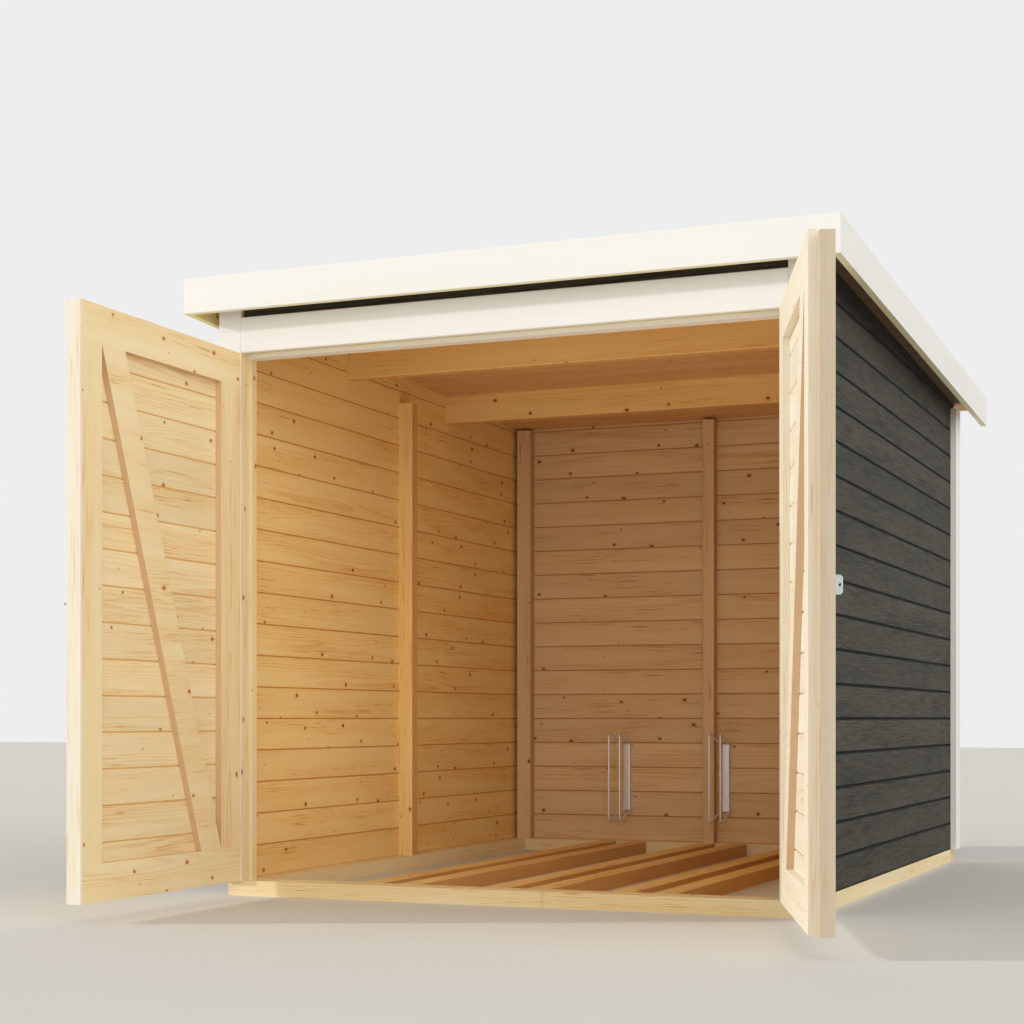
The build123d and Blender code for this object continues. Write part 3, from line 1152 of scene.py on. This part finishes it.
def swept(path: np.ndarray, square: Sequence[float], radius: float, sides: int) -> np.ndarray:
    """Carry a circle along a path that lies in one plane.

    Each point is path + radius * (cos a * square + sin a * way x square), where way is the
    path's own direction there.

    Args:
        path: The points of the path.
        square: Direction square to its plane.
        radius: The circle's radius.
        sides: Points to a turn.

    Returns:
        A grid with one closed row of points for each point of the path.
    """
    way = np.gradient(path, axis=0)
    way /= np.linalg.norm(way, axis=1)[:, None]
    flat = np.array(square) / np.linalg.norm(square)
    angle = np.linspace(0.0, 2 * math.pi, sides, endpoint=False)[None, :, None]
    return path[:, None] + radius * (np.cos(angle) * flat + np.sin(angle) * np.cross(way, flat)[:, None])


@dataclass(frozen=True)
class Head:
    """The head of a screw, bolt or nail, as sizes in metres."""

    radius: float
    height: float
    recess: float = 0.0
    sides: int = 16
    sunk: float = 0.0005
    rim_share: float = 0.25

    def add(self, skin: Skin, foot: Sequence[float], axis: Sequence[float]) -> None:
        """Add one head: a dome, height = top * (1 - (r / radius)^2)^0.5, with a drive recess.

        Args:
            skin: Where it goes.
            foot: Middle of the face that it sits on.
            axis: Where its top points.
        """
        rim = self.rim_share * self.height
        radii = np.linspace(self.radius, self.recess, 6)
        dome = rim + (self.height - rim) * np.sqrt(np.clip(1 - (radii / self.radius) ** 2, 0, 1))
        profile = [(0.0, -self.sunk), (self.radius, -self.sunk), (self.radius, 0.0)]
        profile += list(zip(radii.tolist(), dome.tolist()))
        if self.recess:
            floor = dome[-1] - self.height / 2
            profile += [(self.recess * 0.9, floor + 0.05 * self.height), (0.0, floor)]
        skin.patch(turned(profile, foot, axis, self.sides), round_rows=True)


BOLT = Head(radius=0.0085, height=0.0038)
SCREW = Head(radius=0.0048, height=0.0024, recess=0.0017)
NAIL = Head(radius=0.0024, height=0.0005, sides=10)
CLOUT = Head(radius=0.0055, height=0.0009, sides=12)


@dataclass(frozen=True)
class Leaf:
    """One leaf of the door, hung on a pin and open at rest."""

    side: Side
    pin: Point
    along: Point
    inward: Point
    first_joint: float = 0.105
    module: float = 0.0964
    board_v: float = 0.0015
    boards: int = 16
    foot: float = 0.06
    head: float = 1.595
    hinge_heights: Pair = HINGE_HEIGHTS
    strap_reach: float = 0.43
    strap_half: float = 0.024
    nail_lines: tuple[float, ...] = (0.052, 0.108, 0.748)
    nail_lift: float = 0.024
    bolt_lines: tuple[float, ...] = (0.075, 0.180, 0.285, 0.385)
    timbers: tuple[str, ...] = ("rail_top", "rail_bottom", "stile_hinge", "stile_free", "edge")
    bare: BareSpruce = BareSpruce()
    # The edge strips and the batten take copies of the spruce with painted light and painted shade.
    edge: BareSpruce = SUNLIT_EDGE
    batten: BareSpruce = SHADED
    # Painted shade: the brace's long side faces, which look mostly along the leaf, take the darker
    # end-grain tone.
    brace_side_shade: float = 0.75

    def point(self, along: float, inward: float, height: float) -> np.ndarray:
        """Place in the model of a point given in the leaf's own directions."""
        flat = along * np.array(self.along) + inward * np.array(self.inward)
        return np.array(self.pin) + flat + (0.0, 0.0, height)

    def wood(self, node: str, upright: bool, finish: BareSpruce) -> None:
        """Give one of the leaf's timbers its finish.

        Args:
            node: The timber.
            upright: Whether its grain runs upwards.
            finish: The finish.
        """
        low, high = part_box(node)
        grain, across = (UP, self.along) if upright else (self.along, UP)
        dress(node, finish.material(Lay(tuple((low + high) / 2), grain, across, node)))

    def dress(self) -> None:
        """Give every timber of the leaf its finish."""
        name = f"{self.side.value}_leaf"
        boards = f"{name}_boards"
        foot = (self.pin[0], self.pin[1], self.first_joint)
        dress(boards, self.bare.material(Lay(foot, self.along, UP, boards, self.module)))
        for part in self.timbers:
            finish = self.edge if part == "edge" else self.bare
            self.wood(f"{name}_{part}", not part.startswith("rail"), finish)
        if self.side is Side.RIGHT:
            self.wood("right_meeting_batten", True, self.batten)
        # The brace's side faces take painted shade in the end-grain tone.
        self.wood(f"{name}_brace", False, replace(self.bare, end_share=self.brace_side_shade))

    def fix(self, name: str, head: Head, zinc: Zinc, places: Sequence[Point]) -> None:
        """Set fixings into the outside of the leaf.

        Args:
            name: The piece's name after the side.
            head: The fixings' head.
            zinc: Their finish.
            places: Where each one sits, in the leaf's own directions.
        """
        skin = Skin()
        for place in places:
            head.add(skin, self.point(*place), -np.array(self.inward))
        side = self.side.value
        skin.piece(f"{side}_{name}", zinc.material(), f"door_{side}", Slot.ZINC)

    def nail(self) -> None:
        """Nail every board to the stiles from outside, two nails side by side."""
        places = []
        for board in range(self.boards):
            middle = self.first_joint + (board - 0.5) * self.module
            for line in self.nail_lines:
                for height in (middle - self.nail_lift, middle + self.nail_lift):
                    near_strap = min(abs(height - hinge) for hinge in self.hinge_heights)
                    hidden = line < self.strap_reach and near_strap < self.strap_half
                    if self.foot < height < self.head and not hidden:
                        places.append((line, self.board_v, height))
        self.fix("board_nails", NAIL, Zinc("bright_nail"), places)

    def bolt(self) -> None:
        """Fix the straps with domed coach bolts."""
        places = [(line, -self.board_v, height)
                  for height in self.hinge_heights for line in self.bolt_lines]
        self.fix("strap_bolts", BOLT, Zinc("zinc_bolts"), places)


@dataclass
class Shell:
    """The sills, walls, posts and boards of the house."""

    inner_x: float = 0.864
    wall_t: float = 0.019
    sill_h: float = 0.045
    module: float = 0.0964
    back_y: float = 2.211
    # Timbers inside the house, and the back studs, take copies of the spruce with painted shade.
    bare: dict[str, tuple[Point, BareSpruce]] = field(default_factory=lambda: {
        "sill_front": (RIGHT, OUTDOORS), "sill_back": (RIGHT, OUTDOORS),
        "sill_left": (BACK, OUTDOORS), "sill_right": (BACK, OUTDOORS),
        "jamb_left": (UP, OUTDOORS), "jamb_right": (UP, OUTDOORS),
        "stud_side_left": (UP, INDOOR_SHADE), "stud_side_right": (UP, INDOOR_SHADE),
        "purlin_front": (RIGHT, INDOOR_SHADE), "purlin_back": (RIGHT, INDOOR_SHADE),
        "stud_back_left": (UP, SHADED_BACK), "stud_back_middle": (UP, SHADED_BACK),
        "stud_back_right": (UP, SHADED_BACK),
    })
    painted: dict[str, tuple[Point, tuple[Point, ...], BareSpruce]] = field(default_factory=lambda: {
        "header_board": (RIGHT, (FRONT, UP, DOWN), OUTDOORS),
        "door_head": (RIGHT, (), OUTDOORS),
        "fascia_front": (RIGHT, (FRONT, UP, LEFT, RIGHT), CREAM),
        # The left fascia's bare faces take a copy of the spruce with painted light.
        "fascia_left": (BACK, (LEFT, UP, BACK), SUNLIT_YELLOW),
        "fascia_right": (BACK, (RIGHT, UP, BACK), CREAM),
        "corner_trim_front_left": (UP, (FRONT, LEFT, BACK), OUTDOORS),
        "corner_trim_front_right": (UP, (FRONT, RIGHT, BACK), OUTDOORS),
        "corner_trim_back_left": (UP, (BACK, LEFT, UP, FRONT), OUTDOORS),
        "corner_trim_back_right": (UP, (BACK, RIGHT, UP, FRONT), OUTDOORS),
    })

    def dress(self) -> None:
        """Give the house its finishes."""
        middle, half = self.inner_x + self.wall_t / 2, self.wall_t / 2
        low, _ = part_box("front_panel")
        # The bare inner sides of the three walls take copies of the spruce with painted shade.
        walls = (
            (Lay((-middle, 0.0, self.sill_h), FRONT, UP, "wall_left", self.module), INDOOR_SHADE),
            (Lay((middle, 0.0, self.sill_h), BACK, UP, "wall_right", self.module), INDOOR_SHADE),
            (Lay((0.0, self.back_y - half, self.sill_h), LEFT, UP, "wall_back", self.module), SHADED_BACK),
            (Lay((0.0, low.y + half, low.z), RIGHT, UP, "front_panel"), CREAM),
        )
        for lay, bare in walls:
            dress(lay.name, GreyStain(bare=bare).material(lay))
        for name, (grain, finish) in self.bare.items():
            dress(name, finish.material(plain_lay(name, grain)))
        for name, (grain, faces, bare) in self.painted.items():
            dress(name, WhitePaint(bare=bare).material(plain_lay(name, grain), faces))


@dataclass
class Roofing:
    """The roof boards and the felt over them."""

    front_y: float = -0.106
    back_y: float = 2.336
    half_w: float = 0.963
    pitch: float = 2.3
    deck_front: float = 1.8057
    module: float = 0.12
    felt_t: float = 0.003
    felt_gap: float = 0.0002
    lap_step: float = 0.0022
    lap_edges: tuple[float, ...] = (0.62, 1.50)
    lap_w: float = 0.09
    lap_ramp: float = 0.03
    lap_cut: float = 0.0008
    ripple: float = 0.0005
    ripple_waves: tuple[float, float, float] = (9.0, 5.3, 3.1)
    ripple_sway: float = 1.7
    ripple_shift: float = 0.8
    ripple_rim: float = 0.1
    grid: tuple[int, int] = (70, 61)
    drip_h: float = 0.017
    drip_t: float = 0.0025
    drip_lap: float = 0.03
    drip_rise: float = 0.0012
    drip_sink: float = 0.0008
    drip_gap: float = 0.0003
    drip_turn: float = 0.004
    drip_bend: tuple[Pair, ...] = ((0.0005, 0.0004), (0.0, 0.003))
    nail_pitch: float = 0.085
    nail_x: float = 0.93
    nail_up: float = 0.014
    rim_front: float = 0.018
    rim_back: float = 0.045
    rim_side: float = 0.016
    rim_ends: Pair = (0.12, 0.10)
    deck_low: float = 1.79
    # Painted shade under the side overhangs: where it starts beside the walls, where it stops at the back
    # wall, how fast it fades in, then its colour and strength.
    wall_x: float = 0.883
    wall_back: float = 2.22
    wall_fade: Pair = (0.004, 0.06)
    overhang_shade: Colour = srgb(78, 52, 38)
    overhang_shade_share: float = 0.82
    bare: BareSpruce = SHADY_ROOF
    felt: MineralFelt = MineralFelt()

    @property
    def slope(self) -> float:
        """Fall of the roof to a metre."""
        return math.tan(math.radians(self.pitch))

    def deck(self, y: np.ndarray | float) -> np.ndarray | float:
        """Height of the boards' top over a place."""
        return self.deck_front - self.slope * (y - self.front_y)

    def top(self, x: np.ndarray, y: np.ndarray) -> np.ndarray:
        """Height of the felt's top.

        Height = boards + felt + step where two sheets lap, which starts with a ramp and ends
        sharply at the upper sheet's edge, + a slow ripple that dies out at the rim.

        Args:
            x: Places across the roof.
            y: Places down the roof.

        Returns:
            The heights.
        """
        lift = np.zeros_like(y)
        for edge in self.lap_edges:
            ramp = np.clip((y - edge + self.lap_w) / self.lap_ramp, 0.0, 1.0) * (y <= edge)
            lift = np.maximum(lift, ramp)
        across, down, slow = self.ripple_waves
        sway = self.ripple_sway * np.sin(y * slow)
        ripple = self.ripple * np.sin(x * across + sway) * np.sin(y * down + self.ripple_shift)
        inset = np.minimum(self.half_w - abs(x), np.minimum(y - self.front_y, self.back_y - y))
        fade = np.clip(inset / self.ripple_rim, 0, 1)
        return self.deck(y) + self.felt_t + self.lap_step * lift + ripple * fade

    def dress(self) -> None:
        """Give the boards their finish and lay the felt."""
        dress("roof_deck", self._boards())
        felt = self.felt.material()
        dress("roof_felt", felt)
        self._sheets(felt)
        self._drip(felt)
        self._nails()

    def _boards(self) -> bpy.types.Material:
        """Make the boards' finish, with painted shade where they stand out beside the side walls, in
        front of the back wall.

        Returns:
            The material.
        """
        lay = Lay((0.0, self.front_y, self.deck_low), RIGHT, BACK, "roof_deck", self.module)
        place = begin("spruce", lay)
        shader = place.shader
        grain = self.bare.figure.read(place)
        wood = self.bare.colour(place, grain)
        _, behind, _ = shader.parts(shader.node("ShaderNodeTexCoord")["Object"])
        side_fade, back_fade = self.wall_fade
        # Painted shade: the boards darken where they stand out beside the side walls.
        beside = abs(place.along).rise(self.wall_x - side_fade, self.wall_x)
        outside = beside * behind.rise(self.wall_back, self.wall_back - back_fade)
        colour = shader.mix(outside * self.overhang_shade_share, wood, self.overhang_shade)
        return self.bare.surface(place, grain, colour)

    def _sheets(self, felt: bpy.types.Material) -> None:
        """Lay three lapped sheets in place of the plain felt."""
        rows = [np.linspace(self.front_y, self.back_y, self.grid[0])]
        for edge in self.lap_edges:
            start = edge - self.lap_w
            rows.append([start, start + self.lap_ramp, edge, edge + self.lap_cut])
        across = np.linspace(-self.half_w, self.half_w, self.grid[1])
        y, x = np.meshgrid(np.unique(np.concatenate(rows)), across, indexing="ij")
        top = np.stack([x, y, self.top(x, y)], axis=-1)
        base = np.stack([x, y, self.deck(y) + self.felt_gap], axis=-1)
        skin = Skin()
        skin.patch(top)
        skin.patch(base[::-1])
        for rim in (np.s_[0, :], np.s_[-1, :], np.s_[:, 0], np.s_[:, -1]):
            skin.patch(np.stack([top[rim], base[rim]]))
        sheet = skin.piece("felt_sheets", felt, "shed", Slot.FELT, smooth=20.0)
        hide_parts("roof_felt")

    def _drip(self, felt: bpy.types.Material) -> None:
        """Turn a strip of felt down over the back edge: one outline, pulled across the roof."""
        deck = self.deck(self.back_y)
        high, low = deck + self.felt_t, deck - self.drip_h
        near, far = self.back_y, self.back_y + self.drip_t
        lap, turn, gap = near - self.drip_lap, near - self.drip_turn, near + self.drip_gap
        over, under = high + self.drip_rise, high - self.drip_sink
        bend = [(far - back, high - down) for back, down in self.drip_bend]
        fold = [
            (lap, over), (turn, over), *bend, (far, low),
            (gap, low), (gap, high - self.drip_turn), (turn, under), (lap, under),
        ]
        rows = np.array([[[x, y, z] for y, z in fold] for x in (-self.half_w, self.half_w)])
        skin = Skin()
        skin.tube(rows)
        skin.piece("felt_drip", felt, "shed", Slot.FELT, smooth=50.0)

    def _nails(self) -> None:
        """Drive clout nails along the laps and round the rim."""
        far = self.nail_x + 0.01
        across = np.arange(-self.nail_x, far, self.nail_pitch)
        places = [(x, edge - self.nail_up) for edge in self.lap_edges for x in across]
        for x in np.arange(-self.nail_x, far, 2 * self.nail_pitch):
            places += [(x, self.front_y + self.rim_front), (x, self.back_y - self.rim_back)]
        side = self.half_w - self.rim_side
        start, stop = self.front_y + self.rim_ends[0], self.back_y - self.rim_ends[1]
        for y in np.arange(start, stop, 2 * self.nail_pitch):
            places += [(-side, y), (side, y)]
        skin = Skin()
        for x, y in places:
            height = self.top(np.array(x), np.array(y))
            CLOUT.add(skin, (x, y, float(height)), (0.0, self.slope, 1.0))
        skin.piece("felt_nails", Zinc("clout_nails").material(), "shed", Slot.ZINC)


@dataclass
class WheelRack:
    """The rails on the ground and the wire holders on the back wall."""

    places: dict[str, float] = field(default_factory=lambda: {
        "left": -0.390, "middle": 0.015, "right": 0.390,
    })
    face_y: float = 2.192
    channel_w: float = 0.030
    channel_d: float = 0.020
    channel_t: float = 0.0025
    fold_out: float = 0.004
    fold_in: float = 0.0015
    foot: float = 0.166
    top: float = 0.426
    wire_r: float = 0.004
    wire_gap: float = 0.002
    root: float = 0.018
    root_inset: float = 0.008
    spread: float = 0.022
    reach: float = 0.166
    high: float = 0.474
    low: float = 0.124
    bend: float = 0.012
    bead_r: float = 0.0034
    bead_l: float = 0.010
    bead_drop: float = 0.014
    bead_lift: float = 0.004
    bead_out: float = 0.006
    # The rails take the copy of the spruce with painted shade inside the house.
    bare: BareSpruce = INDOOR_SHADE
    steel: BrightSteel = BrightSteel()

    def dress(self) -> None:
        """Give the rack its finishes and bend its holders."""
        steel = self.steel.material()
        for place, x in self.places.items():
            dress(f"wheel_holder_{place}", steel)
            skin = Skin()
            self._channel(skin, x)
            for sign in (-1.0, 1.0):
                self._wire(skin, x, sign)
            holder = skin.piece(f"bent_holder_{place}", steel, "shed", Slot.WIRE, smooth=40.0)
            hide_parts(f"wheel_holder_{place}")
            for edge in Side:
                node = f"wheel_rail_{place}_{edge.value}"
                dress(node, self.bare.material(plain_lay(node, BACK)))

    def _run(self, x: float, inset: float, radius: float) -> np.ndarray:
        """Outline of the channel's sheet, seen from above.

        Args:
            x: Middle of the channel.
            inset: How far it lies inside the outermost one.
            radius: Radius of its two corners.

        Returns:
            The points.
        """
        half, front = self.channel_w / 2 - inset, self.face_y - self.channel_d + inset
        corners = [(x - half, self.face_y), (x - half, front), (x + half, front), (x + half, self.face_y)]
        return rounded(corners, radius)

    def _channel(self, skin: Skin, x: float) -> None:
        """Fold the channel: a strip of sheet round two corners, as wide all along.

        Args:
            skin: Where it goes.
            x: Its middle.
        """
        outer = self._run(x, 0.0, self.fold_out)
        inner = self._run(x, self.channel_t, self.fold_in)
        edges = ((outer, self.foot), (outer, self.top), (inner, self.top), (inner, self.foot))
        rows = np.array([[[*spot, height] for spot in run] for run, height in edges])
        skin.patch(rows, round_columns=True)
        skin.lid(rows[:, 0])
        skin.lid(rows[::-1, -1])

    def _wire(self, skin: Skin, x: float, sign: float) -> None:
        """Bend one wire and weld it to the channel.

        Args:
            skin: Where it goes.
            x: Middle of the channel.
            sign: Which side the wire is on.
        """
        near, far = x + sign * self.root, x + sign * self.spread
        wall, front = self.face_y - self.wire_gap, self.face_y - self.reach
        path = rounded([
            (near, wall, self.top - self.root_inset), (far, front, self.high),
            (far, front, self.low), (near, wall, self.foot + self.root_inset),
        ], self.bend, steps=10)
        square = np.cross((far - near, front - wall, 0.0), UP)
        skin.tube(swept(path, square, self.wire_r, 14))
        bead = [(self.bead_r * math.sin(turn), self.bead_l * (1 - math.cos(turn)) / 2)
                for turn in np.linspace(0.0, math.pi, 7)]
        for height in (self.top - self.bead_drop, self.foot + self.bead_lift):
            foot = (x + sign * self.channel_w / 2, wall - self.bead_out, height)
            skin.patch(turned(bead, foot, UP, 10), round_rows=True)


@dataclass
class Ironwork:
    """The hinges, the lock plate and its stud, with what fixes them."""

    nodes: tuple[str, ...] = (
        "hinge_pintles_left", "hinge_pintles_right", "left_strap_hinges", "right_strap_hinges",
        "left_lock_stud", "right_lock_plate",
    )
    pin_x: float = PIN_X
    plate_y: float = -0.062
    hinge_heights: Pair = HINGE_HEIGHTS
    screw_drops: Pair = (0.071, 0.047)
    screw_side: float = 0.013
    lock_heights: Pair = (0.806, 0.830)
    lock_along: float = 0.850
    lock_inward: float = -0.0135
    zinc: Zinc = Zinc()

    def dress(self) -> None:
        """Give the ironwork its finish and screw on the pintle plates."""
        material = self.zinc.material()
        for node in self.nodes:
            dress(node, material)
        for side, sign in ((Side.LEFT, -1.0), (Side.RIGHT, 1.0)):
            skin = Skin()
            for height in self.hinge_heights:
                for drop in self.screw_drops:
                    for across in (-self.screw_side, self.screw_side):
                        SCREW.add(skin, (sign * self.pin_x + across, self.plate_y, height - drop), FRONT)
            skin.piece(f"pintle_screws_{side.value}", material, "shed", Slot.ZINC)

    def screw_lock(self, leaf: Leaf) -> None:
        """Screw the lock plate to its batten.

        Args:
            leaf: The leaf that carries it.
        """
        skin = Skin()
        for height in self.lock_heights:
            foot = leaf.point(self.lock_along, self.lock_inward, height)
            SCREW.add(skin, foot, -np.array(leaf.inward))
        skin.piece("lock_plate_screws", self.zinc.material(), f"door_{leaf.side.value}", Slot.ZINC)


@dataclass
class Studio:
    """Pale floor, soft light and the camera."""

    floor_size: float = 60.0
    floor: Colour = srgb(226, 224, 219)
    floor_shade: float = 0.985
    backdrop: Colour = srgb(238, 238, 238)
    sky: Colour = (1.0, 0.99, 0.975, 1.0)
    fill: float = 0.6
    lamp_tint: tuple[float, float, float] = (1.0, 0.985, 0.96)
    lamp_distance: float = 8.0
    sun: float = 1.5
    sun_angle: float = 3.0
    sun_from: Point = (-0.87, -0.40, 0.31)
    side: float = 1.6
    side_angle: float = 85.0
    side_from: Point = (0.78, -0.60, 0.1)
    card: float = 3.8
    card_tint: tuple[float, float, float] = (1.0, 0.97, 0.92)
    card_size: float = 0.6
    card_at: Point = (0.28, 0.45, 0.19)
    card_to: Point = (-0.2, 0.2, 0.95)
    camera_at: Point = (2.0798, -4.994, 0.5275)
    camera_turn: float = 22.44
    lens: float = 67.25
    film_w: float = 36.0
    shift_y: float = 0.2015

    def build(self) -> None:
        """Set up the whole studio."""
        self._floor()
        self._world()
        self._lamp("studio_key", self.sun, self.sun_angle, self.sun_from)
        self._lamp("studio_side", self.side, self.side_angle, self.side_from)
        self._card()
        self._camera()

    @staticmethod
    def _hang(name: str, data: bpy.types.ID, place: Point, turn: Sequence[float]) -> bpy.types.Object:
        """Put something into the scene.

        Args:
            name: The object's name.
            data: Its mesh, lamp or camera.
            place: Where it is.
            turn: Its turn about the three axes, in radians.

        Returns:
            The object.
        """
        made = bpy.data.objects.new(name, data)
        made.location = place
        made.rotation_euler = turn
        bpy.context.scene.collection.objects.link(made)
        return made

    def _floor(self) -> None:
        """Lay the floor just under the sills."""
        half = self.floor_size / 2
        edges = [(-half, -half, 0.0), (half, -half, 0.0), (half, half, 0.0), (-half, half, 0.0)]
        mesh = bpy.data.meshes.new("studio_floor")
        mesh.from_pydata(edges, [], [(0, 1, 2, 3)])
        shader = new_shader("studio_floor")
        cloud = shader.noise(shader.node("ShaderNodeTexCoord")["Object"], 3.0, 0.0)
        darker = tuple(self.floor_shade * level for level in self.floor[:3]) + (1.0,)
        mesh.materials.append(shader.finish({
            "Specular IOR Level": 0.1,
            "Roughness": 0.9,
            "Base Color": shader.mix(cloud, self.floor, darker),
        }))
        self._hang("studio_floor", mesh, (0.0, 0.0, 0.0), (0.0, 0.0, 0.0))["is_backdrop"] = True

    def _world(self) -> None:
        """Light all round, with a plain pale backdrop for the camera and for reflections."""
        world = bpy.data.worlds.new("studio")
        bpy.context.scene.world = world
        shader = Shader(world)
        ray = shader.node("ShaderNodeLightPath")
        seen = ray["Is Camera Ray"].most(ray["Is Glossy Ray"])
        lit, shown = (
            shader.node("ShaderNodeBackground", {}, {"Color": colour, "Strength": strength})["Background"]
            for colour, strength in ((self.sky, self.fill), (self.backdrop, 1.0))
        )
        either = shader.node("ShaderNodeMixShader", {}, {0: seen, 1: lit, 2: shown})["Shader"]
        shader.node("ShaderNodeOutputWorld", {}, {"Surface": either})

    def _lamp(self, name: str, energy: float, angle: float, source: Point) -> None:
        """Hang one lamp far away.

        Args:
            name: The lamp's name.
            energy: Its strength.
            angle: How wide it looks, in degrees; wide lamps cast soft shadows.
            source: Direction that the light comes from.
        """
        lamp = bpy.data.lights.new(name, "SUN")
        lamp.energy = energy
        lamp.angle = math.radians(angle)
        lamp.color = self.lamp_tint
        way = Vector(source)
        self._hang(name, lamp, way * self.lamp_distance, way.to_track_quat("Z", "Y").to_euler())

    def _card(self) -> None:
        """Lay a soft lamp inside by the floor, for the light that bounces off the ground."""
        lamp = bpy.data.lights.new("studio_card", "AREA")
        lamp.energy = self.card
        lamp.size = self.card_size
        lamp.color = self.card_tint
        turn = Vector(self.card_to).to_track_quat("-Z", "Y").to_euler()
        self._hang("studio_card", lamp, self.card_at, turn).visible_camera = False

    def _camera(self) -> None:
        """Stand the camera where the photograph was taken from."""
        data = bpy.data.cameras.new("camera")
        data.sensor_width = self.film_w
        data.lens = self.lens
        data.shift_y = self.shift_y
        turn = (math.radians(90), 0.0, math.radians(self.camera_turn))
        bpy.context.scene.camera = self._hang("camera", data, self.camera_at, turn)


def corners() -> list[list[float]]:
    """The whole object's box as plain lists."""
    return [[float(v) for v in corner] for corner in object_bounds()]


def main() -> None:
    """Build and dress every sub-assembly in order, then light it."""
    logging.basicConfig(level=logging.INFO, format="%(message)s")
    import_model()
    bpy.context.scene.view_settings.view_transform = "Standard"
    Shell().dress()
    Roofing().dress()
    WheelRack().dress()
    ironwork = Ironwork()
    ironwork.dress()
    turn = math.radians(RIGHT_OPEN)
    along, inward = (-math.cos(turn), -math.sin(turn), 0.0), (-math.sin(turn), math.cos(turn), 0.0)
    left = Leaf(Side.LEFT, (-PIN_X, PIN_Y, 0.0), FRONT, RIGHT)
    right = Leaf(Side.RIGHT, (PIN_X, PIN_Y, 0.0), along, inward, bare=SUNLIT)
    for leaf in (left, right):
        leaf.dress()
        leaf.nail()
        leaf.bolt()
    ironwork.screw_lock(right)
    Studio().build()


if __name__ == "__main__":
    main()
